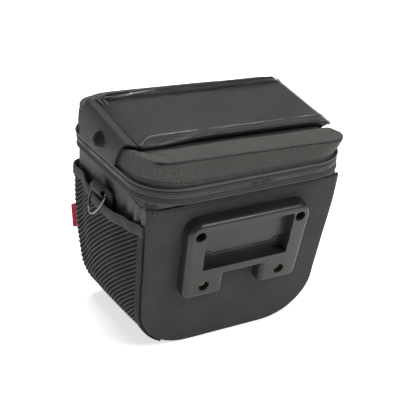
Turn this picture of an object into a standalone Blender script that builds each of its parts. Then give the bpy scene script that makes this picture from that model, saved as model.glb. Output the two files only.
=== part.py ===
# Bicycle handlebar bag: a boxy cloth bag with a zipped lid, a clear pocket strapped over the lid,
# a mesh pocket and a ring on each side, and a moulded adapter plate on the back.
# Metres, +Z up. +Y is the bag's front, the adapter plate faces -Y. The origin is on the ground
# under the middle of the zip line.

import math

import bmesh
import bpy
from mathutils import Matrix, Vector

# Zip line, the widest ring of the bag
ZIP_WIDTH = 0.1632
ZIP_DEPTH = 0.1562
ZIP_CORNER_RADIUS = 0.0339
ZIP_HEIGHT_BACK = 0.1383
ZIP_FRONT_RISE = 0.0051

# Cloth walls
SHELL_THICKNESS = 0.002
TAPE_THICKNESS = 0.0013
MESH_THICKNESS = 0.0013
BINDING_THICKNESS = 0.0022
FLAP_THICKNESS = 0.0014
FILM_THICKNESS = 0.0008
WEB_THICKNESS = 0.0015
GAP = 0.0003
SMALLEST_CORNER = 0.0008

# Body of the bag
BOTTOM_CORNER_RADIUS = 0.036
BACK_LEAN = math.radians(15.7)
BACK_INSET = 0.0067
FRONT_LEAN = math.radians(1.7)
FRONT_INSET = 0.0029
FOLD_DEPTH = 0.0011

# Back panel
PANEL_THICKNESS = 0.0020
PANEL_BELOW_ZIP = 0.0108
PANEL_TURN = 60

# Lid
LID_WALL_HEIGHT = 0.0227
LID_INSET = 0.0017
LID_DOME = 0.0062
LID_ROLL = math.radians(2.4)
LID_SIDE_DROP = 0.0052
LID_FRONT_DROP = 0.0034
LID_CLEARANCE = 0.0015
LID_MARGIN = 0.0060

# Zip
TAPE_WIDTH = 0.0048
CHAIN_HEIGHT = 0.0020
CHAIN_DEPTH = 0.0030
PIPING_RADIUS = 0.0010
SLIDER_LENGTH = 0.0110
SLIDER_WIDTH = 0.0080
SLIDER_THICKNESS = 0.0022
SLIDER_PLACE = 0.93
PULL_LENGTH = 0.0240
PULL_WIDTH = 0.0060

# Flap with the clear pocket, tilted over the lid
FLAP_ABOVE_ZIP = 0.0360
FLAP_CENTRE_BACKWARD = 0.0055
FLAP_TILT = math.radians(10.8)
FLAP_YAW = math.radians(1.8)
FLAP_ROLL = math.radians(2.8)
FLAP_HALF_DEPTH = 0.0373
FLAP_RIM_RISE = 0.0046
FLAP_OVERHANG = 0.0095
RIM_START = 0.0005
RIM_RUN = 0.0030
RIM_LEFT_START = 0.0120
RIM_LEFT_RUN = 0.0350
RIM_RIGHT_START = 0.0020
RIM_RIGHT_RUN = 0.0200
POCKET_SIDE_MARGIN = 0.0116
POCKET_WIDTH = 0.0690
POCKET_THICKNESS = 0.0068
POCKET_END_MARGIN = 0.0065
POCKET_WALL = 0.0018
FILM_FAR_DROP = 0.0018
FILM_FAR_RUN = 0.0100
FILM_END_DROP = 0.0045
TAB_WIDTH = 0.0640
TAB_FORWARD = 0.0135
TAB_TUCK = 0.0085
TUCK_START = 0.0090
TUCK_RUN = 0.0100
TAB_OUTREACH = 0.0026
SNAP_DIAMETER = 0.0125
SNAP_THICKNESS = 0.0026
SNAP_CLEARANCE = 0.0006

# Mesh pockets
MESH_BULGE = 0.0062
MESH_CORNER_BULGE = 0.0022
MESH_EDGE_GAP = 0.0006
BINDING_HEIGHT = 0.0085
BINDING_BELOW_ZIP = 0.0193
BINDING_SAG = 0.0105

# Rings and their web loops
RING_OUTREACH = 0.0075
RING_BELOW_ZIP = 0.0183
RING_FORWARD = 0.0003
RING_WIDTH = 0.0224
RING_DROP = 0.0177
RING_WIRE = 0.0012
RING_BEND = 0.0010
RING_LEAN = math.radians(25.7)
WEB_WIDTH = 0.0180
WEB_BORE = 0.0027
WEB_TAIL = 0.0170

# Side tag
TAG_HEIGHT = 0.0190
TAG_LENGTH = 0.0036
TAG_TURN = math.radians(15)
TAG_THICKNESS = 0.0012
TAG_BASE_HEIGHT = 0.0580

# Adapter plate, measured down the back panel from the zip line
PLATE_THICKNESS = 0.0105
PLATE_HALF_WIDTH = 0.0495
PLATE_TOP = 0.0232
PLATE_BOTTOM = 0.0910
PLATE_CORNER_RADIUS = 0.0105
PLATE_ROUNDING = 0.0030
PLATE_LEG_TAPER = 0.0025
PLATE_FOOT_BEVEL = 0.0040
PLATE_FOOT_DRAFT = 0.0010
PLATE_NOTCH_DRAFT = 0.0012
PLATE_NOTCH_HALF_WIDTH = 0.0165
PLATE_NOTCH_TOP = 0.0735
RECESS_HALF_WIDTH = 0.0345
RECESS_TOP = 0.0300
RECESS_BOTTOM = 0.0655
RECESS_DEPTH = 0.0072
RECESS_DRAFT = 0.0006
LEDGE_HEIGHT = 0.0075
LEDGE_DEPTH = 0.0015
LEDGE_STEP = 0.0085
LEDGE_STEP_HEIGHT = 0.0030
CUT_OVERLAP = 0.0005
CUT_ABOVE = 0.0020
TOP_HOLE_SPACING = 0.0804
TOP_HOLE_DOWN = 0.0333
BOTTOM_HOLE_SPACING = 0.0626
BOTTOM_HOLE_DOWN = 0.0807
HOLE_RADIUS = 0.0041
TOP_HOLE_DEPTH = 0.0085
SCREW_SEAT_DEPTH = 0.0060
SCREW_HEAD_RADIUS = 0.0034
SCREW_HEAD_HEIGHT = 0.0024
SCREW_SOCKET_RADIUS = 0.0014

# Sizes that follow
CENTRE_Y = ZIP_DEPTH / 2
ZIP_HEIGHT_FRONT = ZIP_HEIGHT_BACK + ZIP_FRONT_RISE
PANEL_HEIGHT = ZIP_HEIGHT_BACK - PANEL_BELOW_ZIP
FLAP_CENTRE_HEIGHT = ZIP_HEIGHT_BACK + FLAP_ABOVE_ZIP
POCKET_LENGTH = ZIP_WIDTH - 2 * POCKET_SIDE_MARGIN
BINDING_TOP = ZIP_HEIGHT_BACK - BINDING_BELOW_ZIP
RING_HEIGHT = ZIP_HEIGHT_BACK - RING_BELOW_ZIP
TAPE_PROUD = TAPE_THICKNESS + GAP
SEAM_CORNER_RADIUS = ZIP_CORNER_RADIUS - TAPE_PROUD
TOP_HALF_WIDTH = ZIP_WIDTH / 2 - TAPE_PROUD
RIM_HEIGHT = ZIP_HEIGHT_BACK - CHAIN_HEIGHT / 2 - GAP
ZIP_SLOPE = (ZIP_HEIGHT_FRONT - ZIP_HEIGHT_BACK) / ZIP_DEPTH
FLAP_FLOOR = -(FILM_THICKNESS + POCKET_THICKNESS)
FLAP_TOP_HALF = POCKET_LENGTH / 2 + POCKET_END_MARGIN
FLAP_RIGHT_HALF = FLAP_TOP_HALF + FLAP_OVERHANG

# Body widths up the bag. Columns: height as a share of the zip height, half-width at the back and
# at the front as shares of the top half-width, corner radius at the back and at the front as shares
# of the seam corner radius, and how far the wall has flared out to the zip.
BODY_TABLE = (
    (0.311, 0.904, 0.925, 0.06, 0.19, 0.00),
    (0.405, 0.912, 0.928, 0.06, 0.19, 0.00),
    (0.528, 0.920, 0.934, 0.06, 0.22, 0.00),
    (0.651, 0.934, 0.940, 0.07, 0.30, 0.00),
    (0.752, 0.945, 0.946, 0.09, 0.42, 0.00),
    (0.839, 0.956, 0.960, 0.15, 0.58, 0.00),
    (0.922, 0.970, 0.985, 0.25, 0.82, 0.00),
    (0.953, 0.996, 0.996, 1.00, 1.00, 0.60),
    (1.000, 1.000, 1.000, 1.00, 1.00, 1.00),
)

# Soft folds on the body's sides above the pocket. Columns: place along the side from the back as a
# share of its straight run, and depth as a share of the fold depth.
SIDE_FOLDS = ((0.00, 0.0), (0.07, 0.9), (0.14, -0.3), (0.22, 1.0), (0.30, -0.2), (0.42, 0.5), (0.62, 0.0),
              (0.81, 0.3), (1.00, 0.0))

# Lid dome from back to front. Columns: share of the lid's depth, share of the dome's height.
LID_PROFILE = ((0.0, 0.0), (0.12, -0.1), (0.25, -0.12), (0.45, 0.35), (0.65, 0.8), (0.78, 1.0), (0.88, 0.6),
               (1.0, -0.2))

# Lid wall. Columns: share of the wall's height, share of the lid's inset, share of the back corner radius.
LID_WALL = ((0.0, 0.0, 1.0), (0.35, 0.0, 1.0), (0.7, 0.3, 0.8), (1.0, 1.0, 0.56))

# Rings of the lid's top, as shares of the way in from the crease to the middle
LID_RINGS = (0.02, 0.055, 0.11, 0.19, 0.29, 0.42, 0.6, 0.8)

# Mesh pocket edge, its sag along the side. Columns: share of the side, share of the sag.
BINDING_LINE = ((-0.25, 0.55), (0.0, 0.63), (0.12, 0.76), (0.28, 0.8), (0.45, 0.92), (0.6, 0.77),
                (0.75, 0.45), (0.9, 0.3), (1.0, 0.35), (1.25, 0.6))

# Places along the flap from left to right, as shares of its top's half length
FLAP_COLUMNS = (-0.96, -0.92, -0.75, -0.45, 0.0, 0.5, 0.88, 0.92, 0.96)

# Places across the flap from near to far, down a tab from its fold, and the snap's place down the tab
FLAP_PLACES = (-1.0, -0.93, -0.72, -0.35, 0.0, 0.35, 0.72, 0.93, 1.0)
TAB_SHARES = (0.0, 0.11, 0.22, 0.33, 0.46, 0.62, 0.8, 1.0)
SNAP_SHARE = 0.78

# Places round the corners and up the bottom corners, in degrees
CORNER_ANGLES = (0, 13, 26, 39, 52, 60, 75)
FRONT_ANGLES = (15, 30, 45, 60, 75, 90)
BOTTOM_ANGLES = (0, 16, 32, 48, 64, 78, 90)


# Small helpers
def lookup(table, place, column=1):
    """Straight-line reading of a table whose first column rises."""
    if place <= table[0][0]:
        return table[0][column]
    for low, high in zip(table, table[1:]):
        if place <= high[0]:
            share = (place - low[0]) / (high[0] - low[0])
            return low[column] + share * (high[column] - low[column])
    return table[-1][column]


def smooth(value):
    """Ease from 0 to 1."""
    value = min(1.0, max(0.0, value))
    return value * value * (3 - 2 * value)


def make_material(name, colour, roughness, metallic=0.0, alpha=1.0):
    """A plain surface with one colour."""
    material = bpy.data.materials.new(name)
    material.use_nodes = True
    shader = material.node_tree.nodes["Principled BSDF"]
    shader.inputs["Base Color"].default_value = (*colour, 1.0)
    shader.inputs["Roughness"].default_value = roughness
    shader.inputs["Metallic"].default_value = metallic
    shader.inputs["Alpha"].default_value = alpha
    material.diffuse_color = (*colour, alpha)
    return material


def make_object(name, mesh_data, material, sharp_degrees=35):
    """Turn a bmesh into a named object with outward faces."""
    bmesh.ops.recalc_face_normals(mesh_data, faces=mesh_data.faces)
    mesh = bpy.data.meshes.new(name)
    mesh_data.to_mesh(mesh)
    mesh_data.free()
    mesh.materials.append(material)
    mesh.shade_smooth()
    mesh.set_sharp_from_angle(angle=math.radians(sharp_degrees))
    thing = bpy.data.objects.new(name, mesh)
    bpy.context.scene.collection.objects.link(thing)
    return thing


def add_rows(mesh_data, rows, closed, looped=False):
    """Skin rows of points with quads and return the rows of vertices."""
    made = [[mesh_data.verts.new(point) for point in row] for row in rows]
    pairs = list(zip(made, made[1:]))
    if looped:
        pairs.append((made[-1], made[0]))
    for low, high in pairs:
        count = len(low)
        for i in range(count if closed else count - 1):
            j = (i + 1) % count
            mesh_data.faces.new((low[i], low[j], high[j], high[i]))
    return made


def solid_between(name, outer, inner, material, closed=False):
    """A wall between two matching grids of points, with its edges closed."""
    data = bmesh.new()
    outside = add_rows(data, outer, closed)
    inside = add_rows(data, [list(row) for row in inner], closed)
    count = len(outside[0])
    for row in (0, -1):
        for i in range(count if closed else count - 1):
            j = (i + 1) % count
            data.faces.new((outside[row][i], outside[row][j], inside[row][j], inside[row][i]))
    if not closed:
        for column in (0, -1):
            for i in range(len(outside) - 1):
                data.faces.new((outside[i][column], outside[i + 1][column],
                                inside[i + 1][column], inside[i][column]))
    return make_object(name, data, material)


def offset_grid(grid, distance):
    """Move a grid of points along its own normals."""
    moved = []
    for i, row in enumerate(grid):
        line = []
        for j, point in enumerate(row):
            along = row[min(j + 1, len(row) - 1)] - row[max(j - 1, 0)]
            across = grid[min(i + 1, len(grid) - 1)][j] - grid[max(i - 1, 0)][j]
            line.append(point + along.cross(across).normalized() * distance)
        moved.append(line)
    return moved


# The bag's outside, which every cloth piece follows
def zip_height(y):
    """Height of the zip line at a place from back to front."""
    return ZIP_HEIGHT_BACK + ZIP_SLOPE * (y + CENTRE_Y)


def body_section(height):
    """Widths, faces and corner radii of the body at one height."""
    corner_row = BODY_TABLE[0]
    if height < corner_row[0] * ZIP_HEIGHT_BACK:
        angle = math.acos(max(-1.0, 1 - height / BOTTOM_CORNER_RADIUS))
        narrow = BOTTOM_CORNER_RADIUS * (1 - math.sin(min(angle, math.pi / 2)))
        row = corner_row
    else:
        angle, narrow = math.pi / 2, 0.0
        share = height / ZIP_HEIGHT_BACK
        row = [share] + [lookup(BODY_TABLE, share, column) for column in range(1, 6)]
    flare = smooth(row[5])
    drop = ZIP_HEIGHT_BACK - height
    back_plane = BACK_INSET + drop * math.tan(BACK_LEAN) + (PANEL_THICKNESS + GAP) / math.cos(BACK_LEAN)
    front_plane = ZIP_DEPTH - FRONT_INSET - drop * math.tan(FRONT_LEAN)
    back = back_plane + flare * (TAPE_PROUD - back_plane) - CENTRE_Y
    front = front_plane + flare * (ZIP_DEPTH - TAPE_PROUD - front_plane) - CENTRE_Y
    return {"height": height, "angle": min(angle, math.pi / 2), "back": back, "front": front,
            "half_back": row[1] * TOP_HALF_WIDTH - narrow, "half_front": row[2] * TOP_HALF_WIDTH - narrow,
            "corner_back": row[3] * SEAM_CORNER_RADIUS, "corner_front": row[4] * SEAM_CORNER_RADIUS}


def zip_section():
    """The ring of the bag's wall at the zip."""
    return body_section(ZIP_HEIGHT_BACK)


def grown(section, distance):
    """The same section with its wall moved outward."""
    sideways = distance * math.sin(section["angle"])
    bigger = dict(section)
    bigger["half_back"] += sideways
    bigger["half_front"] += sideways
    bigger["back"] -= distance
    bigger["front"] += distance
    bigger["corner_back"] = max(SMALLEST_CORNER, section["corner_back"] + distance)
    bigger["corner_front"] = max(SMALLEST_CORNER, section["corner_front"] + distance)
    bigger["height"] -= distance * math.cos(section["angle"])
    return bigger


def stations(side_places):
    """Places round a section: left half from the back's middle to the front's middle, then mirrored."""
    half = [("back", share) for share in (0.0, 0.35, 0.7)]
    half += [("back_corner", angle) for angle in CORNER_ANGLES]
    half += [("side", share) for share in side_places]
    half += [("front_corner", angle) for angle in FRONT_ANGLES]
    half += [("front", share) for share in (0.7, 0.35, 0.0)]
    left = [(kind, value, -1) for kind, value in half]
    right = [(kind, value, 1) for kind, value in reversed(half[1:-1])]
    return left + right


def place(section, station):
    """The point of a section at a station."""
    kind, value, side = station
    r_back, r_front = section["corner_back"], section["corner_front"]
    depth = section["front"] - section["back"]

    def half_width(y):
        wider = section["half_front"] - section["half_back"]
        return section["half_back"] + wider * (y - section["back"]) / depth

    if kind == "back":
        y = section["back"]
        x = value * (section["half_back"] - r_back)
    elif kind == "back_corner":
        turn = math.radians(value)
        y = section["back"] + r_back * (1 - math.cos(turn))
        x = half_width(y) - r_back * (1 - math.sin(turn))
    elif kind == "side":
        y = section["back"] + r_back + value * (depth - r_back - r_front)
        x = half_width(y)
    elif kind == "front_corner":
        turn = math.radians(value)
        y = section["front"] - r_front * (1 - math.sin(turn))
        x = half_width(y) - r_front * (1 - math.cos(turn))
    else:
        y = section["front"]
        x = value * (section["half_front"] - r_front)
    z = section["height"] * (1 + ZIP_SLOPE / ZIP_HEIGHT_BACK * (y - section["back"]))
    return Vector((side * x, y, z))


def fold_at(section, station):
    """Depth of the soft folds at a station."""
    kind, value, _ = station
    if kind != "side":
        return 0.0
    share = section["height"] / ZIP_HEIGHT_BACK
    strength = smooth((share - 0.62) / 0.15) * smooth((0.97 - share) / 0.06)
    return FOLD_DEPTH * lookup(SIDE_FOLDS, value) * strength


def wall_point(height, station, outward):
    """A point of the bag's wall, moved outward by a distance."""
    section = body_section(height)
    point = place(grown(section, outward), station)
    point.x -= station[2] * fold_at(section, station)
    return point


RING_STATIONS = stations([share for share, _ in SIDE_FOLDS])
BODY_HEIGHTS = [BOTTOM_CORNER_RADIUS * (1 - math.cos(math.radians(angle))) for angle in BOTTOM_ANGLES]
BODY_HEIGHTS += [row[0] * ZIP_HEIGHT_BACK for row in BODY_TABLE[:-1]] + [RIM_HEIGHT]


# Body and back panel
def make_body(material):
    """The open tub of the bag, with a flat bottom."""
    data = bmesh.new()
    outside = add_rows(data, [[wall_point(h, s, 0.0) for s in RING_STATIONS] for h in BODY_HEIGHTS], True)
    rows = [[wall_point(h, s, -SHELL_THICKNESS) for s in RING_STATIONS] for h in BODY_HEIGHTS]
    inside = add_rows(data, rows, True)
    count = len(RING_STATIONS)
    for i in range(count):
        j = (i + 1) % count
        data.faces.new((outside[-1][i], outside[-1][j], inside[-1][j], inside[-1][i]))
    data.faces.new(outside[0])
    data.faces.new(inside[0])
    return make_object("body_shell", data, material)


def make_panel(material):
    """The stiff cloth panel on the back, turned a little round the corners."""
    half = [s for s in RING_STATIONS if s[0] == "back" or (s[0] == "back_corner" and s[1] <= PANEL_TURN)]
    left = [s for s in half if s[2] < 0]
    right = [s for s in half if s[2] > 0]
    across = list(reversed(left)) + sorted(right, key=lambda s: (s[0] != "back", s[1]))
    heights = [h for h in BODY_HEIGHTS if h < PANEL_HEIGHT - GAP] + [PANEL_HEIGHT]

    def grid(outward):
        rows = []
        for height in heights:
            section = grown(body_section(height), outward)
            section["height"] = height
            rows.append([place(section, station) for station in across])
        return rows

    return solid_between("back_panel", grid(GAP + PANEL_THICKNESS), grid(GAP), material)


# Lid
def side_drop(share):
    """The lid's crease hangs lower along its sides under the flap's tabs, and at its front corners."""
    beside_flap = smooth((share - 0.1) / 0.16) * smooth((0.78 - share) / 0.28)
    return LID_SIDE_DROP * beside_flap + LID_FRONT_DROP * smooth((share - 0.6) / 0.3)


def lid_top_height(x, y, crease):
    """Height of the lid's top, domed towards the front and pressed down under the flap."""
    depth = crease["front"] - crease["back"]
    share = (y - crease["back"]) / depth
    across = min(1.0, abs(x) / crease["half_back"])
    shoulder = (1 - across ** 8) ** (1 / 3)
    ends = smooth(min(share, 1 - share) / 0.03)
    base = zip_height(y) + LID_WALL_HEIGHT - x * math.tan(LID_ROLL) - side_drop(share) * across ** 6
    free = base + LID_DOME * lookup(LID_PROFILE, share) * shoulder * ends
    under_flap = flap_frame().inverted() @ Vector((x, y, free))
    if abs(under_flap.y) < FLAP_HALF_DEPTH + LID_MARGIN:
        lid_level = FLAP_FLOOR - FLAP_THICKNESS - LID_CLEARANCE
        lowest = flap_frame() @ Vector((under_flap.x, under_flap.y, lid_level))
        free = min(free, lowest.z)
    return free


def lid_section(inset, corner_share):
    """The lid's ring at one level, drawn in from the zip."""
    section = grown(zip_section(), -inset)
    section["corner_back"] *= corner_share
    return section


def make_lid(material):
    """The lid: a walled cap with a crease and a domed top."""
    low = CHAIN_HEIGHT / 2 + GAP

    def wall_ring(share, inset_share, corner_share, inward):
        section = lid_section(LID_INSET * inset_share + inward, corner_share)
        lift = low + share * (LID_WALL_HEIGHT - low - inward)
        ring = []
        for station in RING_STATIONS:
            point = place(section, station)
            lean = point.x * math.tan(LID_ROLL) * share
            along = (point.y - section["back"]) / (section["front"] - section["back"])
            across = abs(point.x) / section["half_back"]
            lean += side_drop(along) * across ** 6 * share
            ring.append(Vector((point.x, point.y, zip_height(point.y) + lift - lean)))
        return ring

    def skin(inward):
        rows = [wall_ring(share, inset, corner, inward) for share, inset, corner in LID_WALL]
        crease = lid_section(LID_INSET + inward, LID_WALL[-1][2])
        middle = (crease["front"] + crease["back"]) / 2
        for share in LID_RINGS:
            ring = []
            for station in RING_STATIONS:
                edge = place(crease, station)
                x = edge.x * (1 - share)
                y = middle + (edge.y - middle) * (1 - share)
                ring.append(Vector((x, y, lid_top_height(x, y, crease) - inward)))
            rows.append(ring)
        return rows

    data = bmesh.new()
    outside = add_rows(data, skin(0.0), True)
    inside = add_rows(data, skin(SHELL_THICKNESS), True)
    count = len(RING_STATIONS)
    for i in range(count):
        j = (i + 1) % count
        data.faces.new((outside[0][i], outside[0][j], inside[0][j], inside[0][i]))
    data.faces.new(outside[-1])
    data.faces.new(inside[-1])
    return make_object("lid_shell", data, material, 50)


# Zip
def band(name, profile, material, keep=lambda station: True):
    """Sweep a small profile round the zip line. The profile holds (outward, upward) pairs."""
    base = zip_section()
    path = [station for station in RING_STATIONS if keep(station)]
    whole = len(path) == len(RING_STATIONS)
    if not whole and keep(RING_STATIONS[0]):
        start = max(i for i, station in enumerate(RING_STATIONS) if not keep(station)) + 1
        path = [s for s in RING_STATIONS[start:] + RING_STATIONS[:start] if keep(s)]
    rows = []
    for outward, upward in profile:
        section = grown(base, outward)
        ring = []
        for station in path:
            point = place(section, station)
            ring.append(Vector((point.x, point.y, zip_height(point.y) + upward)))
        rows.append(ring)
    data = bmesh.new()
    made = add_rows(data, rows, whole, True)
    if not whole:
        for column in (0, -1):
            data.faces.new([row[column] for row in made])
    return make_object(name, data, material)


def rectangle(inner, outer, low, high):
    """A rectangular profile."""
    return [(inner, low), (outer, low), (outer, high), (inner, high)]


def on_front(station):
    """True on the straight front of the bag, where the lid is hinged by cloth."""
    return station[0] == "front"


def make_zip(tape, chain, slider, piping):
    """Two tapes, the row of teeth, the cloth hinge, the piping and the slider."""
    half = CHAIN_HEIGHT / 2
    edge = half + GAP
    band("zip_tape_lower", rectangle(GAP, TAPE_PROUD, -edge - TAPE_WIDTH, -edge), tape)
    band("zip_tape_upper", rectangle(GAP, TAPE_PROUD, edge, edge + TAPE_WIDTH * 0.5), tape)
    band("zip_chain", rectangle(TAPE_PROUD - CHAIN_DEPTH, TAPE_PROUD, -half, half), chain,
         lambda station: not on_front(station))
    band("lid_hinge_strip", rectangle(TAPE_PROUD - CHAIN_DEPTH, TAPE_PROUD - GAP, -half, half), tape,
         on_front)
    centre = edge + TAPE_WIDTH * 0.5 + GAP + PIPING_RADIUS
    turns = [math.tau * i / 6 for i in range(6)]
    ring = [(GAP + PIPING_RADIUS * (1 + math.cos(t)), centre + PIPING_RADIUS * math.sin(t)) for t in turns]
    band("lid_piping", ring, piping)
    make_slider(slider)


def make_slider(material):
    """The zip slider and its pull, parked near the front of the right side."""
    parked = ("side", SLIDER_PLACE, 1)
    seat = place(grown(zip_section(), TAPE_PROUD + GAP), parked)
    half = SLIDER_LENGTH / 2
    data = bmesh.new()
    outline = [(-half, -SLIDER_WIDTH / 2), (half * 0.55, -SLIDER_WIDTH / 2), (half, -SLIDER_WIDTH / 4),
               (half, SLIDER_WIDTH / 4), (half * 0.55, SLIDER_WIDTH / 2), (-half, SLIDER_WIDTH / 2)]
    levels = ((0.0, 1.0), (SLIDER_THICKNESS * 0.7, 1.0), (SLIDER_THICKNESS, 0.8))
    rows = [[Vector((out, y * size, z * size)) for y, z in outline] for out, size in levels]
    made = add_rows(data, rows, True)
    data.faces.new(made[0])
    data.faces.new(made[-1])
    body = make_object("zip_slider", data, material)
    body.location = (seat.x, seat.y, zip_height(seat.y))
    pull = bmesh.new()
    top = SLIDER_WIDTH * 0.2
    width = PULL_WIDTH / 2
    shape = [(-width * 0.5, top), (width * 0.5, top), (width, top - PULL_LENGTH * 0.3),
             (width, top - PULL_LENGTH), (-width, top - PULL_LENGTH), (-width, top - PULL_LENGTH * 0.3)]
    rows = [[Vector((out, y, z)) for y, z in shape] for out in (0.0, SLIDER_THICKNESS * 0.6)]
    made = add_rows(pull, rows, True)
    pull.faces.new(made[0])
    pull.faces.new(made[-1])
    tag = make_object("zip_pull", pull, material)
    tag.location = (seat.x + SLIDER_THICKNESS + GAP, seat.y, zip_height(seat.y))


# Flap and clear pocket
def flap_frame():
    """Placement of the flap: its X along the bag's width, its Y over the lid's depth, its Z off the lid."""
    spin = (Matrix.Rotation(FLAP_YAW, 4, "Z") @ Matrix.Rotation(FLAP_ROLL, 4, "Y")
            @ Matrix.Rotation(FLAP_TILT, 4, "X"))
    return Matrix.Translation((0.0, -FLAP_CENTRE_BACKWARD, FLAP_CENTRE_HEIGHT)) @ spin


def flap_end(side):
    """Distance of a fold from the flap's middle. The right end stands out over the lid's side."""
    return FLAP_RIGHT_HALF if side > 0 else FLAP_TOP_HALF


def rim_rise(x, y):
    """The flap's long borders stand up a little outside the pocket, less towards the ends."""
    past_side = smooth((abs(y) - POCKET_WIDTH / 2 + RIM_START) / RIM_RUN)
    from_left = smooth((x + POCKET_LENGTH / 2 - RIM_LEFT_START) / RIM_LEFT_RUN)
    from_right = smooth((FLAP_RIGHT_HALF + RIM_RIGHT_START - x) / RIM_RIGHT_RUN)
    left, right = (0.2, 0.5) if y < 0 else (0.6, 0.1)
    return FLAP_RIM_RISE * past_side * (left + (1 - left) * from_left) * (right + (1 - right) * from_right)


def flap_edge(x, share):
    """Place across the flap at a share from -1 to 1, with the near corners cut back to the tabs."""
    tuck = TAB_TUCK * smooth((abs(x) - flap_end(x) + TUCK_START) / TUCK_RUN)
    return share * FLAP_HALF_DEPTH + tuck * max(0.0, -share)


def tab_point(side, across, share):
    """A point on top of a tab: across it from -1 to 1, and from its fold at 0 to its foot at 1."""
    x = side * flap_end(side)
    y = flap_edge(x, across)
    fold = flap_frame() @ Vector((x, y, FLAP_FLOOR + rim_rise(x, y)))
    y_foot = TAB_FORWARD - FLAP_CENTRE_BACKWARD + across * TAB_WIDTH / 2
    piping_top = CHAIN_HEIGHT / 2 + TAPE_WIDTH / 2 + 2 * PIPING_RADIUS + 4 * GAP
    foot = Vector((side * (TOP_HALF_WIDTH + TAPE_PROUD + FLAP_THICKNESS + GAP), y_foot,
                   zip_height(y_foot) + piping_top))
    reach = max(TOP_HALF_WIDTH + TAB_OUTREACH, flap_end(side) + GAP)
    lift = TAB_OUTREACH * 0.7 * smooth((reach - flap_end(side)) / TAB_OUTREACH)
    corner = Vector((side * reach, fold.y * 0.8 + y_foot * 0.2, fold.z + lift))
    return fold * (1 - share) ** 2 + corner * 2 * share * (1 - share) + foot * share ** 2


def make_flap(material):
    """The flap: a sheet over the lid with a tab folded down each side."""
    rows = [[tab_point(-1, s, share) for s in FLAP_PLACES] for share in reversed(TAB_SHARES)]
    for x_share in FLAP_COLUMNS:
        line = []
        for s in FLAP_PLACES:
            x = x_share * flap_end(x_share)
            y = flap_edge(x, s)
            line.append(flap_frame() @ Vector((x, y, FLAP_FLOOR + rim_rise(x, y))))
        rows.append(line)
    rows += [[tab_point(1, s, share) for s in FLAP_PLACES] for share in TAB_SHARES]
    return solid_between("flap", rows, offset_grid(rows, FLAP_THICKNESS), material)


def make_window(material):
    """The clear film, raised over the pocket's hollow and open at the right end."""
    frame = flap_frame()
    wall = POCKET_WALL
    half_l, half_w = POCKET_LENGTH / 2, POCKET_WIDTH / 2
    brim = FLAP_HALF_DEPTH - half_w - wall - GAP
    places_y = [-half_w - wall - brim, -half_w - wall, -half_w - wall * 0.35]
    places_y += [-half_w * 0.985, -half_w * 0.5, 0.0]
    places_y += [-y for y in reversed(places_y[:-1])]
    places_x = [-half_l - wall - brim, -half_l - wall, -half_l - wall * 0.35, -half_l * 0.99]
    places_x += [share * flap_end(share) for share in FLAP_COLUMNS if share > -0.9] + [FLAP_RIGHT_HALF]

    def rise(x, y):
        end = smooth((x + half_l + wall) / wall)
        side = smooth((half_w + wall - abs(y)) / wall)
        return min(end, side)

    rows = []
    for x in places_x:
        line = []
        for y in places_y:
            up = rise(x, y)
            low = FLAP_FLOOR + rim_rise(x, y) + GAP + FILM_THICKNESS
            far = FILM_FAR_DROP * smooth((y - half_w + FILM_FAR_RUN) / FILM_FAR_RUN)
            top = -far - FILM_END_DROP * smooth((x - FLAP_TOP_HALF) / FLAP_OVERHANG)
            line.append(frame @ Vector((x, y, low + up * (max(low, top) - low))))
        rows.append(line)
    return solid_between("clear_window", rows, offset_grid(rows, FILM_THICKNESS), material)


def make_snap(name, side, material):
    """A domed snap cap on a tab."""
    sides = 20
    radius = SNAP_DIAMETER / 2
    profile = ((0.86, 0.0), (1.0, 0.25), (0.97, 0.6), (0.72, 0.8), (0.4, 1.0))
    data = bmesh.new()
    rows = []
    for width, up in profile:
        turns = [math.tau * i / sides for i in range(sides)]
        rows.append([Vector((radius * width * math.cos(t), radius * width * math.sin(t), up * SNAP_THICKNESS))
                     for t in turns])
    made = add_rows(data, rows, True)
    data.faces.new(made[0])
    data.faces.new(made[-1])
    cap = make_object(name, data, material)
    seat = tab_point(side, 0.0, SNAP_SHARE)
    along = tab_point(side, 0.0, SNAP_SHARE + 0.12) - tab_point(side, 0.0, SNAP_SHARE - 0.12)
    across = tab_point(side, 0.15, SNAP_SHARE) - tab_point(side, -0.15, SNAP_SHARE)
    normal = along.cross(across).normalized() * side
    cap.rotation_euler = normal.to_track_quat("Z", "Y").to_euler()
    cap.location = seat + normal * SNAP_CLEARANCE
    return cap


# Mesh pockets
def binding_top(station):
    """Height of the pocket's mouth along the side."""
    kind, value, _ = station
    if kind == "side":
        share = value
    elif kind == "back_corner":
        share = -0.25 * (90 - value) / 90
    else:
        share = 1 + 0.25 * value / 90
    return BINDING_TOP - BINDING_SAG * lookup(BINDING_LINE, share)


def pocket_bulge(station, height):
    """How far the pocket stands off the body at a place."""
    kind, value, _ = station
    top = binding_top(station)
    up = smooth(min(1.0, height / top) / 0.85)
    if kind == "side":
        along = max(smooth(value / 0.4) * smooth((1 - value) / 0.3),
                    MESH_CORNER_BULGE / MESH_BULGE * smooth((value - 0.6) / 0.4))
    elif kind == "front_corner":
        along = MESH_CORNER_BULGE / MESH_BULGE * smooth((75 - value) / 40)
    else:
        along = 0.0
    return MESH_EDGE_GAP + MESH_BULGE * along * up


def pocket_path(side):
    """Stations that a pocket covers, from the panel seam to just round the front corner."""
    path = [("back_corner", angle, side) for angle in (75, 85)]
    path += [("side", share, side) for share, _ in SIDE_FOLDS]
    path += [("front_corner", angle, side) for angle in (15, 30, 45, 60, 75)]
    return path


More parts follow.
